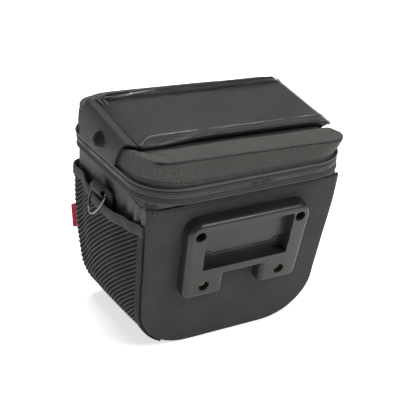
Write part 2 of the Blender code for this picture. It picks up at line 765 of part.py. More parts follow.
def make_pocket(side_name, side, mesh_material, binding_material):
    """One mesh pocket and the binding on its mouth."""
    path = pocket_path(side)
    low = [BOTTOM_CORNER_RADIUS * (1 - math.cos(math.radians(angle))) for angle in (32, 48, 64, 78)]
    shares = (0.0, 0.12, 0.26, 0.42, 0.58, 0.74, 0.88, 1.0)
    foot = BODY_TABLE[0][0] * ZIP_HEIGHT_BACK

    def rows(thickness):
        grid = []
        for height in low:
            grid.append([wall_point(height, s, pocket_bulge(s, height) + thickness) for s in path])
        for share in shares:
            line = []
            for s in path:
                height = foot + share * (binding_top(s) - BINDING_HEIGHT - foot)
                line.append(wall_point(height, s, pocket_bulge(s, height) + thickness))
            grid.append(line)
        return grid

    def binding_rows(thickness):
        grid = []
        for share in (0.0, 0.5, 1.0):
            line = []
            for s in path:
                height = binding_top(s) - BINDING_HEIGHT * (1 - share) + GAP * (1 - share)
                round_over = (0.15, 1.0, 0.15)[(0.0, 0.5, 1.0).index(share)]
                extra = (BINDING_THICKNESS - MESH_THICKNESS) * round_over
                out = pocket_bulge(s, height) + (thickness and MESH_THICKNESS + extra)
                line.append(wall_point(height, s, out))
            grid.append(line)
        return grid

    solid_between("mesh_pocket_" + side_name, rows(MESH_THICKNESS), rows(0.0), mesh_material)
    solid_between("pocket_binding_" + side_name, binding_rows(1), binding_rows(0), binding_material)


# Rings and web loops
def ring_place(side):
    """Middle of a ring's bar."""
    section = body_section(RING_HEIGHT)
    return Vector((side * (section["half_back"] + RING_OUTREACH), RING_FORWARD, RING_HEIGHT))


def make_web_loop(name, side, material):
    """Webbing sewn to the side, folded over the ring's bar."""
    bar = ring_place(side)
    section = body_section(RING_HEIGHT)
    wall = abs(bar.x) - section["half_back"] - 2 * GAP
    profile = []
    for angle in range(-100, 181, 20):
        turn = math.radians(angle)
        profile.append((math.cos(turn), math.sin(turn)))
    outer, inner = [], []
    lift = WEB_BORE - RING_WIRE - GAP
    for c, s in profile:
        outer.append((c * (WEB_BORE + WEB_THICKNESS), s * (WEB_BORE + WEB_THICKNESS) + lift))
        inner.append((c * WEB_BORE, s * WEB_BORE + lift))
    outer.append((-wall, -WEB_BORE * 0.6 + lift))
    inner.append((-wall + WEB_THICKNESS, -WEB_BORE * 0.9 + lift))
    outer.append((-wall + WEB_THICKNESS * 0.1, lift - WEB_TAIL))
    inner.append((-wall + WEB_THICKNESS * 1.1, lift - WEB_TAIL))
    half = WEB_WIDTH / 2

    def grid(points):
        return [[Vector((bar.x + side * x, bar.y + y, bar.z + z)) for y in (-half, half)] for x, z in points]

    return solid_between(name, grid(outer), grid(inner), material)


def make_ring(name, side, material):
    """A wire ring: a straight bar closed by half an ellipse."""
    half = RING_WIDTH / 2
    arc = [math.radians(angle) for angle in range(10, 171, 20)]
    path = [Vector((half * math.cos(turn), -RING_DROP * math.sin(turn))) for turn in arc]
    for side_sign in (-1, 1):
        inner = Vector((side_sign * (half - RING_BEND), 0.0))
        outer = Vector((side_sign * half, -RING_BEND * 0.4))
        path += [outer, inner] if side_sign < 0 else [inner, outer]
    count = len(path)
    rows = []
    for i, point in enumerate(path):
        tangent = (path[(i + 1) % count] - path[i - 1]).normalized()
        normal = Vector((-tangent.y, tangent.x))
        ring = []
        for k in range(6):
            turn = math.tau * k / 6
            flat = point + normal * RING_WIRE * math.cos(turn)
            ring.append(Vector((RING_WIRE * math.sin(turn), flat.x, flat.y)))
        rows.append(ring)
    data = bmesh.new()
    add_rows(data, rows, True, True)
    ring = make_object(name, data, material, 80)
    ring.location = ring_place(side)
    ring.rotation_euler = (0.0, -side * RING_LEAN, 0.0)
    return ring


# Side tag
def make_tag(material):
    """A folded cloth tag sewn into the seam at the front of the left side."""
    station = ("front_corner", 45, -1)
    data = bmesh.new()
    corners = []
    for height in (TAG_BASE_HEIGHT, TAG_BASE_HEIGHT + TAG_HEIGHT):
        outward = pocket_bulge(station, height) + MESH_THICKNESS + 2 * GAP
        corners.append(wall_point(height, station, outward))
    reach = Vector((-math.cos(TAG_TURN), math.sin(TAG_TURN), 0.0)) * TAG_LENGTH
    side = Vector((0.0, TAG_THICKNESS, 0.0))
    rows = []
    for seat in corners:
        rows.append([seat, seat + reach, seat + reach + side, seat + side])
    made = add_rows(data, rows, True)
    data.faces.new(made[0])
    data.faces.new(made[-1])
    return make_object("side_tag", data, material)


# Adapter plate
def plate_frame():
    """Placement of the plate: X across, Y up the panel, Z off the panel, from the zip line."""
    top = Vector((0.0, BACK_INSET - CENTRE_Y, ZIP_HEIGHT_BACK))
    off = Vector((0.0, -math.cos(BACK_LEAN), -math.sin(BACK_LEAN)))
    up = Vector((0.0, -math.sin(BACK_LEAN), math.cos(BACK_LEAN)))
    across = Vector((1.0, 0.0, 0.0))
    turn = Matrix((across, up, off)).transposed().to_4x4()
    return Matrix.Translation(top + off * GAP) @ turn


def plate_outline(inset):
    """The plate's outline at one level, with rounded top corners and two legs."""
    half = PLATE_HALF_WIDTH - inset
    top = -PLATE_TOP - inset
    bottom = -PLATE_BOTTOM + inset
    notch = PLATE_NOTCH_HALF_WIDTH + inset
    notch_top = -PLATE_NOTCH_TOP + inset
    radius = PLATE_CORNER_RADIUS - inset
    points = []
    for step in range(5):
        turn = math.radians(90 * step / 4)
        points.append((half - radius + radius * math.sin(turn), top - radius + radius * math.cos(turn)))
    points += [(half - PLATE_LEG_TAPER, bottom + PLATE_FOOT_BEVEL),
               (half - PLATE_LEG_TAPER - PLATE_FOOT_BEVEL, bottom),
               (notch - PLATE_FOOT_DRAFT, bottom), (notch - PLATE_NOTCH_DRAFT, notch_top)]
    left = [(-x, y) for x, y in reversed(points)]
    return points + left


def cut(target, cutter):
    """Take a cutter's shape out of a piece."""
    cutter.hide_render = True
    cutter.display_type = "WIRE"
    cutter.hide_set(True)
    modifier = target.modifiers.new("cut_" + cutter.name, "BOOLEAN")
    modifier.operation = "DIFFERENCE"
    modifier.solver = "EXACT"
    modifier.object = cutter


def make_cutter(name, rows):
    """A closed cutter from rings of points in the plate's frame."""
    data = bmesh.new()
    made = add_rows(data, rows, True)
    data.faces.new(made[0])
    data.faces.new(made[-1])
    bmesh.ops.recalc_face_normals(data, faces=data.faces)
    mesh = bpy.data.meshes.new(name)
    data.to_mesh(mesh)
    data.free()
    cutter = bpy.data.objects.new(name, mesh)
    bpy.context.scene.collection.objects.link(cutter)
    cutter.matrix_world = plate_frame()
    return cutter


def box_rows(x_low, x_high, y_low, y_high, z_low, z_high, draft=0.0):
    """Rings of a box that opens a little towards its top."""
    low = [(x_low, y_low), (x_high, y_low), (x_high, y_high), (x_low, y_high)]
    high = [(x_low - draft, y_low - draft), (x_high + draft, y_low - draft),
            (x_high + draft, y_high + draft), (x_low - draft, y_high + draft)]
    return [[Vector((x, y, z_low)) for x, y in low], [Vector((x, y, z_high)) for x, y in high]]


def hole_rows(x, y, radius, z_low, z_high, sides=20):
    """Rings of a round hole."""
    ring = [(x + radius * math.cos(math.tau * i / sides), y + radius * math.sin(math.tau * i / sides))
            for i in range(sides)]
    return [[Vector((a, b, z)) for a, b in ring] for z in (z_low, z_high)]


def make_plate(material):
    """The moulded plate, with its recess, ledge and four holes."""
    levels = ((0.0, 0.0), (0.55, 0.0), (0.82, 0.22), (0.94, 0.58), (1.0, 1.0))
    data = bmesh.new()
    rows = []
    for up, inset in levels:
        rows.append([Vector((x, y, up * PLATE_THICKNESS)) for x, y in plate_outline(inset * PLATE_ROUNDING)])
    made = add_rows(data, rows, True)
    data.faces.new(made[0])
    data.faces.new(made[-1])
    plate = make_object("adapter_plate", data, material)
    plate.matrix_world = plate_frame()
    face = PLATE_THICKNESS
    over = face + CUT_ABOVE
    floor = face - RECESS_DEPTH
    ledge_y = -RECESS_BOTTOM + LEDGE_HEIGHT
    half = RECESS_HALF_WIDTH
    parts = [("cutter_recess", box_rows(-half, half, ledge_y, -RECESS_TOP, floor, over, RECESS_DRAFT)),
             ("cutter_slot", box_rows(-half + LEDGE_STEP, half - LEDGE_STEP, -RECESS_BOTTOM,
                                      ledge_y + CUT_OVERLAP, floor - LEDGE_DEPTH, over)),
             ("cutter_slot_left", box_rows(-half, -half + LEDGE_STEP + CUT_OVERLAP, -RECESS_BOTTOM,
                                           ledge_y + LEDGE_STEP_HEIGHT, floor - LEDGE_DEPTH, over)),
             ("cutter_slot_right", box_rows(half - LEDGE_STEP - CUT_OVERLAP, half, -RECESS_BOTTOM,
                                            ledge_y + LEDGE_STEP_HEIGHT, floor - LEDGE_DEPTH, over))]
    for side, word in ((-1, "left"), (1, "right")):
        parts.append(("cutter_top_hole_" + word,
                      hole_rows(side * TOP_HOLE_SPACING / 2, -TOP_HOLE_DOWN, HOLE_RADIUS,
                                face - TOP_HOLE_DEPTH, over)))
        parts.append(("cutter_seat_" + word,
                      hole_rows(side * BOTTOM_HOLE_SPACING / 2, -BOTTOM_HOLE_DOWN, HOLE_RADIUS,
                                face - SCREW_SEAT_DEPTH, over)))
    for name, rows in parts:
        cut(plate, make_cutter(name, rows))
    return plate


def make_screw(name, side, material):
    """A round screw head with a six-sided socket, seated in a lower hole."""
    data = bmesh.new()
    r, h = SCREW_HEAD_RADIUS, SCREW_HEAD_HEIGHT
    profile = [(r * 0.97, 0.0, 24), (r, h * 0.25, 24), (r * 0.92, h * 0.7, 24), (r * 0.7, h, 24)]
    rows = []
    for radius, z, sides in profile:
        turns = [math.tau * i / sides for i in range(sides)]
        rows.append([Vector((radius * math.cos(t), radius * math.sin(t), z)) for t in turns])
    socket = []
    for i in range(24):
        turn = math.tau * i / 24
        fold = math.cos(math.pi / 6) / math.cos((turn % (math.pi / 3)) - math.pi / 6)
        reach = SCREW_SOCKET_RADIUS * fold
        socket.append((reach * math.cos(turn), reach * math.sin(turn)))
    rows.append([Vector((x, y, h)) for x, y in socket])
    rows.append([Vector((x, y, h * 0.35)) for x, y in socket])
    made = add_rows(data, rows, True)
    data.faces.new(made[0])
    data.faces.new(made[-1])
    screw = make_object(name, data, material)
    seat_depth = PLATE_THICKNESS - SCREW_SEAT_DEPTH + GAP
    seat = Vector((side * BOTTOM_HOLE_SPACING / 2, -BOTTOM_HOLE_DOWN, seat_depth))
    screw.matrix_world = plate_frame() @ Matrix.Translation(seat)
    return screw


def build():
    """Make every piece."""
    for thing in list(bpy.data.objects):
        bpy.data.objects.remove(thing, do_unlink=True)
    cloth = make_material("cloth", (0.052, 0.049, 0.045), 0.9)
    panel_cloth = make_material("panel_cloth", (0.060, 0.057, 0.052), 0.9)
    lid_cloth = make_material("lid_cloth", (0.054, 0.051, 0.047), 0.9)
    tape = make_material("tape", (0.040, 0.038, 0.036), 0.8)
    teeth = make_material("teeth", (0.030, 0.030, 0.030), 0.4)
    piping = make_material("piping", (0.045, 0.043, 0.040), 0.6)
    slider = make_material("slider", (0.050, 0.050, 0.050), 0.35, 0.8)
    coated = make_material("coated_cloth", (0.028, 0.028, 0.028), 0.45)
    film = make_material("clear_film", (0.80, 0.82, 0.84), 0.1, 0.0, 0.3)
    snap = make_material("snap", (0.010, 0.010, 0.010), 0.2)
    net = make_material("net", (0.035, 0.032, 0.030), 0.85)
    binding = make_material("binding", (0.048, 0.046, 0.042), 0.85)
    web = make_material("web", (0.035, 0.034, 0.032), 0.8)
    steel = make_material("steel", (0.62, 0.60, 0.57), 0.25, 1.0)
    red = make_material("red_cloth", (0.52, 0.02, 0.06), 0.8)
    plastic = make_material("moulded_plastic", (0.075, 0.073, 0.068), 0.5)
    brass = make_material("brass", (0.70, 0.60, 0.36), 0.3, 1.0)

    make_body(cloth)
    make_panel(panel_cloth)
    make_lid(lid_cloth)
    make_zip(tape, teeth, slider, piping)
    make_flap(coated)
    make_window(film)
    for side_name, side in (("left", -1), ("right", 1)):
        make_snap("snap_" + side_name, side, snap)
        make_pocket(side_name, side, net, binding)
        make_web_loop("web_loop_" + side_name, side, web)
        make_ring("d_ring_" + side_name, side, steel)
        make_screw("adapter_screw_" + side_name, side, brass)
    make_tag(red)
    make_plate(plastic)


build()
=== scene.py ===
# Handlebar bag dressed in woven cloth, net, coated cloth and clear film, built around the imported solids.
import math
from bisect import bisect_left

import bmesh
import bpy
from mathutils import Matrix, Vector, noise


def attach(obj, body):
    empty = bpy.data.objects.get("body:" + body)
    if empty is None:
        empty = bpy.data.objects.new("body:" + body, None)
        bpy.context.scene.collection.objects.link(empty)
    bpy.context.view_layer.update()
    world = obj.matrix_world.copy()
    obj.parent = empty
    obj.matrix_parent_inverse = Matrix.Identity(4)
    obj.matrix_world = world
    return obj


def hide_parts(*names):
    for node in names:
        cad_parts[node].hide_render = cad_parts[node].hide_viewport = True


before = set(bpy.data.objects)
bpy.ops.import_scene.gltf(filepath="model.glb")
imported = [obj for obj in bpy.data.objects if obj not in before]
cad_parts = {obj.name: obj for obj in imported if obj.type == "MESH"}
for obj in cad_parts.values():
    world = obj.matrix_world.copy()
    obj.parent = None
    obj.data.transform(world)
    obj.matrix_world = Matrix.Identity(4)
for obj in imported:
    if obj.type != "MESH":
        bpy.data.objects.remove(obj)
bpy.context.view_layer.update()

mm = 0.001

# the bag's own sizes, as in its solids
zipLine = {"width": 163.2 * mm, "depth": 156.2 * mm, "corner": 33.9 * mm,
           "back": 138.3 * mm, "front": 143.4 * mm,     # heights at the back and the front
           "edge": 1.3 * mm}                            # from its middle up and down to the cloth
cloth = {"wall": 2.0 * mm, "gap": 0.3 * mm, "tape": 1.3 * mm}
centreY = zipLine["depth"] / 2
proud = cloth["tape"] + cloth["gap"]
topHalf = zipLine["width"] / 2 - proud
seamCorner = zipLine["corner"] - proud
zipSlope = (zipLine["front"] - zipLine["back"]) / zipLine["depth"]

body = {
    "bottomRadius": 36 * mm,
    "backLean": math.radians(15.7),
    "backInset": 6.7 * mm,
    "frontLean": math.radians(1.7),
    "frontInset": 2.9 * mm,
    "panel": 2.0 * mm,         # thickness of the stiff panel on the back
    "panelTop": 127.5 * mm,
    "panelTurn": 60,           # how far it turns round the back corners, degrees
    "sideFold": 1.1 * mm,      # depth of the soft folds above the net pockets
    "crown": 1.4 * mm,         # how much the front bellies out
    "slack": 0.5 * mm,
    "seam": 0.7 * mm,          # depth of the seams at the front corners
    "hang": 0.034,             # how far the left side hangs in at the bottom, as a share
    "hangHeight": 60 * mm,
    # upright creases above the pockets: place along the side, width, depth in mm
    "creases": ((0.02, 0.02, 1.2), (0.062, 0.012, -2.3), (0.105, 0.02, 1.8), (0.158, 0.013, -2.5),
                (0.215, 0.025, 1.3), (0.29, 0.022, -1.7), (0.66, 0.05, -0.8), (0.8, 0.06, 0.9)),
    # height share, half-width back and front, corner back and front, flare to the zip
    "levels": (
        (0.311, 0.904, 0.925, 0.06, 0.19, 0.00),
        (0.405, 0.912, 0.928, 0.06, 0.19, 0.00),
        (0.528, 0.920, 0.934, 0.06, 0.22, 0.00),
        (0.651, 0.934, 0.940, 0.07, 0.30, 0.00),
        (0.752, 0.945, 0.946, 0.09, 0.42, 0.00),
        (0.839, 0.956, 0.960, 0.15, 0.58, 0.00),
        (0.922, 0.970, 0.985, 0.25, 0.82, 0.00),
        (0.953, 0.996, 0.996, 1.00, 1.00, 0.60),
        (1.000, 1.000, 1.000, 1.00, 1.00, 1.00),
    ),
    # soft folds: place along the side, depth
    "folds": ((0.00, 0.0), (0.07, 0.9), (0.14, -0.3), (0.22, 1.0), (0.30, -0.2), (0.42, 0.5), (0.62, 0.0),
              (0.81, 0.3), (1.00, 0.0)),
}


# small helpers
def lookup(table, place, column=1):
    if place <= table[0][0]:
        return table[0][column]
    for low, high in zip(table, table[1:]):
        if place <= high[0]:
            part = (place - low[0]) / (high[0] - low[0])
            return low[column] + part * (high[column] - low[column])
    return table[-1][column]


def curveLookup(table, place, column=1):
    # the same along a smooth curve through the rows
    rows = [(row[0], row[column]) for row in table]
    place = min(rows[-1][0], max(rows[0][0], place))
    i = max(k for k in range(len(rows) - 1) if rows[k][0] <= place)

    def slope(k):
        a, b = rows[max(k - 1, 0)], rows[min(k + 1, len(rows) - 1)]
        return (b[1] - a[1]) / (b[0] - a[0])

    (x0, y0), (x1, y1) = rows[i], rows[i + 1]
    wide = x1 - x0
    t = (place - x0) / wide
    start = (2 * t ** 3 - 3 * t ** 2 + 1) * y0 + (t ** 3 - 2 * t ** 2 + t) * wide * slope(i)
    return start + (3 * t ** 2 - 2 * t ** 3) * y1 + (t ** 3 - t ** 2) * wide * slope(i + 1)


def smooth(value):
    value = min(1.0, max(0.0, value))
    return value * value * (3 - 2 * value)


def hill(value, middle, width):
    return math.exp(-((value - middle) / width) ** 2)


def offLine(x, y, start, end):
    # distance of a place from a short line
    dx, dy = end[0] - start[0], end[1] - start[1]
    t = min(1.0, max(0.0, ((x - start[0]) * dx + (y - start[1]) * dy) / (dx * dx + dy * dy)))
    return math.hypot(x - start[0] - t * dx, y - start[1] - t * dy)


def softMin(a, b, width):
    # the lower of two, rounded where they cross
    near = max(width - abs(a - b), 0.0) / width
    return min(a, b) - near * near * width / 4


def grain(point, size, seed=0.0):
    # smooth noise from -1 to 1 over features of one size
    return noise.noise(Vector((point[0] / size + seed, point[1] / size - seed, point[2] / size + 2 * seed)))


def share(i, count):
    return i / (count - 1)


def power(value, sharpness):
    # a power that keeps its sign, for outlines between an oval and a box
    return math.copysign(abs(value) ** sharpness, value)


def circle(count):
    return [(math.cos(math.tau * i / count), math.sin(math.tau * i / count)) for i in range(count)]


def intoScene(name, data):
    thing = bpy.data.objects.new(name, data)
    bpy.context.scene.collection.objects.link(thing)
    return thing


def soften(thing, width, segments, angle):
    # fine rounding of the sharp edges
    bevel = thing.modifiers.new("soften", "BEVEL")
    bevel.width = width
    bevel.segments = segments
    bevel.limit_method = "ANGLE"
    bevel.angle_limit = math.radians(angle)
    return bevel


# node trees
def surface(name, look):
    material = bpy.data.materials.new(name)
    material.use_nodes = True
    shader = material.node_tree.nodes["Principled BSDF"]
    shader.inputs["Base Color"].default_value = (*look["colour"], 1.0)
    shader.inputs["Roughness"].default_value = look["rough"]
    shader.inputs["Metallic"].default_value = look.get("metal", 0.0)
    shader.inputs["Specular IOR Level"].default_value = look.get("shine", 0.5)
    shader.inputs["Sheen Weight"].default_value = look.get("sheen", 0.0)
    shader.inputs["Sheen Roughness"].default_value = 0.5
    return material, material.node_tree, shader


def maths(tree, what, a, b=None):
    node = tree.nodes.new("ShaderNodeMath")
    node.operation = what
    for i, value in enumerate((a, b)):
        if value is None:
            continue
        if isinstance(value, (int, float)):
            node.inputs[i].default_value = value
        else:
            tree.links.new(value, node.inputs[i])
    return node.outputs[0]


def noiseOf(tree, size, detail=3.0, uv=False, stretch=(1, 1, 1)):
    coords = tree.nodes.new("ShaderNodeUVMap" if uv else "ShaderNodeTexCoord")
    if uv:
        coords.uv_map = "cloth"
    mapping = tree.nodes.new("ShaderNodeMapping")
    mapping.inputs["Scale"].default_value = stretch
    tree.links.new(coords.outputs["UV" if uv else "Object"], mapping.inputs["Vector"])
    node = tree.nodes.new("ShaderNodeTexNoise")
    node.inputs["Scale"].default_value = 1 / size
    node.inputs["Detail"].default_value = detail
    tree.links.new(mapping.outputs[0], node.inputs["Vector"])
    return node.outputs["Fac"]


def weaveOf(tree, pitch, ribs=False):
    # height of plain woven threads, or of ribs that run along the piece
    coords = tree.nodes.new("ShaderNodeUVMap")
    coords.uv_map = "cloth"
    split = tree.nodes.new("ShaderNodeSeparateXYZ")
    tree.links.new(coords.outputs["UV"], split.inputs[0])
    u = maths(tree, "DIVIDE", split.outputs["X"], pitch)
    v = maths(tree, "DIVIDE", split.outputs["Y"], pitch)
    warp, weft = [maths(tree, "SINE", maths(tree, "MULTIPLY", maths(tree, "FRACT", along), math.pi))
                  for along in (u, v)]
    if ribs:
        return maths(tree, "ADD", weft, maths(tree, "MULTIPLY", warp, 0.25))
    over = maths(tree, "MODULO", maths(tree, "ADD", maths(tree, "FLOOR", u), maths(tree, "FLOOR", v)), 2.0)
    over = maths(tree, "ABSOLUTE", over)
    first = maths(tree, "MULTIPLY", warp, over)
    return maths(tree, "ADD", first, maths(tree, "MULTIPLY", weft, maths(tree, "SUBTRACT", 1.0, over)))


def bumpInto(tree, shader, height, distance, strength=1.0, under=None):
    bump = tree.nodes.new("ShaderNodeBump")
    bump.inputs["Strength"].default_value = strength
    bump.inputs["Distance"].default_value = distance
    tree.links.new(height, bump.inputs["Height"])
    if under is not None:
        tree.links.new(under, bump.inputs["Normal"])
    tree.links.new(bump.outputs[0], shader.inputs["Normal"])
    return bump.outputs[0]


def mottle(tree, shader, look, factor):
    # colour between two shades of the look's own colour
    ramp = tree.nodes.new("ShaderNodeValToRGB")
    for element, place, tone in zip(ramp.color_ramp.elements, (0.35, 0.65), look.get("shades", (0.7, 1.35))):
        element.position = place
        element.color = (*[min(1.0, c * tone) for c in look["colour"]], 1.0)
    tree.links.new(factor, ramp.inputs[0])
    tree.links.new(ramp.outputs[0], shader.inputs["Base Color"])


def varyRough(tree, shader, look, factor, spread, below):
    rough = maths(tree, "ADD", maths(tree, "MULTIPLY", factor, spread), look["rough"] - below)
    tree.links.new(rough, shader.inputs["Roughness"])


def clothLook(name, look):
    # woven cloth: threads, lighter flecks, soft wear
    material, tree, shader = surface(name, look)
    weave = weaveOf(tree, look["pitch"], look.get("ribs", False))
    fleck = noiseOf(tree, 0.9 * mm, 2.0, uv=True)
    cloud = noiseOf(tree, 22 * mm, 2.0)
    mix = maths(tree, "ADD", maths(tree, "MULTIPLY", fleck, 0.7), maths(tree, "MULTIPLY", weave, 0.18))
    mottle(tree, shader, look, maths(tree, "ADD", mix, maths(tree, "MULTIPLY", cloud, 0.12)))
    threads = bumpInto(tree, shader, weave, look["relief"], 0.7)
    bumpInto(tree, shader, fleck, look["relief"] * 0.8, 0.5, threads)
    varyRough(tree, shader, look, fleck, 0.2, 0.1)
    return material


def mouldedLook(name, look):
    # moulded or coated surface: fine pimples and a slow change of gloss
    material, tree, shader = surface(name, look)
    cloud = noiseOf(tree, 18 * mm, 3.0)
    mottle(tree, shader, look, cloud)
    bumpInto(tree, shader, noiseOf(tree, look["pimple"], 2.0), look["relief"], 0.5)
    varyRough(tree, shader, look, cloud, 0.22, 0.11)
    return material


def metalLook(name, look):
    # drawn or plated metal with fine scratches
    material, tree, shader = surface(name, look)
    scratch = noiseOf(tree, 0.7 * mm, 4.0, stretch=(1, 1, 9))
    mottle(tree, shader, look, scratch)
    bumpInto(tree, shader, scratch, 0.02 * mm, 0.3)
    varyRough(tree, shader, look, scratch, 0.25, 0.12)
    return material


def filmLook(name, look):
    # clear film with slow ripples
    material, tree, shader = surface(name, look)
    shader.inputs["Transmission Weight"].default_value = look["clear"]
    shader.inputs["IOR"].default_value = look["ior"]
    bumpInto(tree, shader, noiseOf(tree, 9 * mm, 2.0), 0.5 * mm, 0.35)
    varyRough(tree, shader, look, noiseOf(tree, 14 * mm), 0.06, 0.03)
    return material


# finishes by the way they are made; pitch is the thread's, relief the height of the bumps
looks = {
    clothLook: {
        "body": {"colour": (0.078, 0.075, 0.071), "rough": 0.86, "sheen": 0.05, "shine": 0.2,
                 "pitch": 0.55 * mm, "relief": 0.16 * mm, "shades": (0.35, 2.0)},
        "panel": {"colour": (0.028, 0.026, 0.025), "rough": 0.9, "sheen": 0.05, "shine": 0.2,
                  "pitch": 0.62 * mm, "relief": 0.2 * mm, "shades": (0.3, 2.1)},
        "lid": {"colour": (0.046, 0.044, 0.041), "rough": 0.84, "sheen": 0.05, "shine": 0.22,
                "pitch": 0.55 * mm, "relief": 0.16 * mm, "shades": (0.35, 2.0)},
        "tape": {"colour": (0.036, 0.035, 0.033), "rough": 0.8, "shine": 0.2,
                 "pitch": 0.8 * mm, "relief": 0.18 * mm, "ribs": True},
        "binding": {"colour": (0.045, 0.043, 0.040), "rough": 0.85, "sheen": 0.05, "shine": 0.2,
                    "pitch": 0.6 * mm, "relief": 0.12 * mm},
        "webbing": {"colour": (0.038, 0.037, 0.034), "rough": 0.8, "sheen": 0.05, "shine": 0.25,
                    "pitch": 1.1 * mm, "relief": 0.25 * mm, "ribs": True},
        "net": {"colour": (0.030, 0.027, 0.025), "rough": 0.75, "shine": 0.25,
                "pitch": 0.5 * mm, "relief": 0.1 * mm, "shades": (0.3, 2.2)},
        "netTape": {"colour": (0.026, 0.024, 0.022), "rough": 0.85, "shine": 0.2,
                    "pitch": 0.6 * mm, "relief": 0.2 * mm},
        # nearly black: the net's knitted ground with the shade under the net painted in, and the zip core
        # with painted shade between the teeth
        "ground": {"colour": (0.008, 0.007, 0.007), "rough": 0.9, "shine": 0.1,
                   "pitch": 0.9 * mm, "relief": 0.3 * mm, "shades": (0.4, 2.2)},
        "piping": {"colour": (0.030, 0.029, 0.027), "rough": 0.42, "pitch": 0.5 * mm, "relief": 0.05 * mm},
        "thread": {"colour": (0.085, 0.082, 0.076), "rough": 0.55, "pitch": 0.25 * mm, "relief": 0.06 * mm,
                   "ribs": True},
        # near black, painted shade: the needle holes between stitches and the open holes of the net's ladder
        "hole": {"colour": (0.004, 0.004, 0.004), "rough": 0.9, "pitch": 0.25 * mm, "relief": 0.02 * mm},
        "tag": {"colour": (0.50, 0.018, 0.055), "rough": 0.8, "sheen": 0.4,
                "pitch": 0.45 * mm, "relief": 0.1 * mm, "shades": (0.75, 1.25)},
        "coated": {"colour": (0.024, 0.024, 0.024), "rough": 0.6, "shine": 0.3,
                   "pitch": 0.5 * mm, "relief": 0.08 * mm, "shades": (0.5, 1.7)},
    },
    mouldedLook: {
        # pale grey: painted highlight on the clear film's welded edges
        "weld": {"colour": (0.22, 0.22, 0.22), "rough": 0.2, "pimple": 1.5 * mm, "relief": 0.05 * mm,
                 "shades": (0.4, 1.6)},
        "plastic": {"colour": (0.021, 0.020, 0.019), "rough": 0.33, "shine": 0.36,
                    "pimple": 0.35 * mm, "relief": 0.04 * mm, "shades": (0.85, 1.15)},
        "snap": {"colour": (0.005, 0.005, 0.005), "rough": 0.28, "shine": 0.45,
                 "pimple": 1.2 * mm, "relief": 0.02 * mm},
        "teeth": {"colour": (0.17, 0.165, 0.155), "rough": 0.3, "shine": 0.7,
                  "pimple": 0.3 * mm, "relief": 0.02 * mm},
    },
    metalLook: {
        "steel": {"colour": (0.20, 0.195, 0.185), "rough": 0.24, "metal": 1.0, "shades": (0.6, 1.3)},
        "brass": {"colour": (0.72, 0.60, 0.34), "rough": 0.3, "metal": 1.0, "shades": (0.75, 1.2)},
        "black": {"colour": (0.045, 0.045, 0.045), "rough": 0.35, "metal": 0.6, "shades": (0.8, 1.2)},
    },
    filmLook: {"film": {"colour": (0.97, 0.975, 0.98), "rough": 0.05, "clear": 1.0, "ior": 1.22}},
}
finish = {}
for makeLook, group in looks.items():
    for name, look in group.items():
        finish[name] = makeLook(name, look)
print("finishes made")


# meshes
def lengthsOf(row, closed=False):
    # running length along a row of points
    run = [0.0]
    for a, b in zip(row, row[1:] + (row[:1] if closed else [])):
        run.append(run[-1] + (b - a).length)
    return run


def spotOn(run, at):
    # number of the stretch that holds this distance, and the share along it
    j = min(max(bisect_left(run, at) - 1, 0), len(run) - 2)
    return j, (at - run[j]) / max(1e-9, run[j + 1] - run[j])


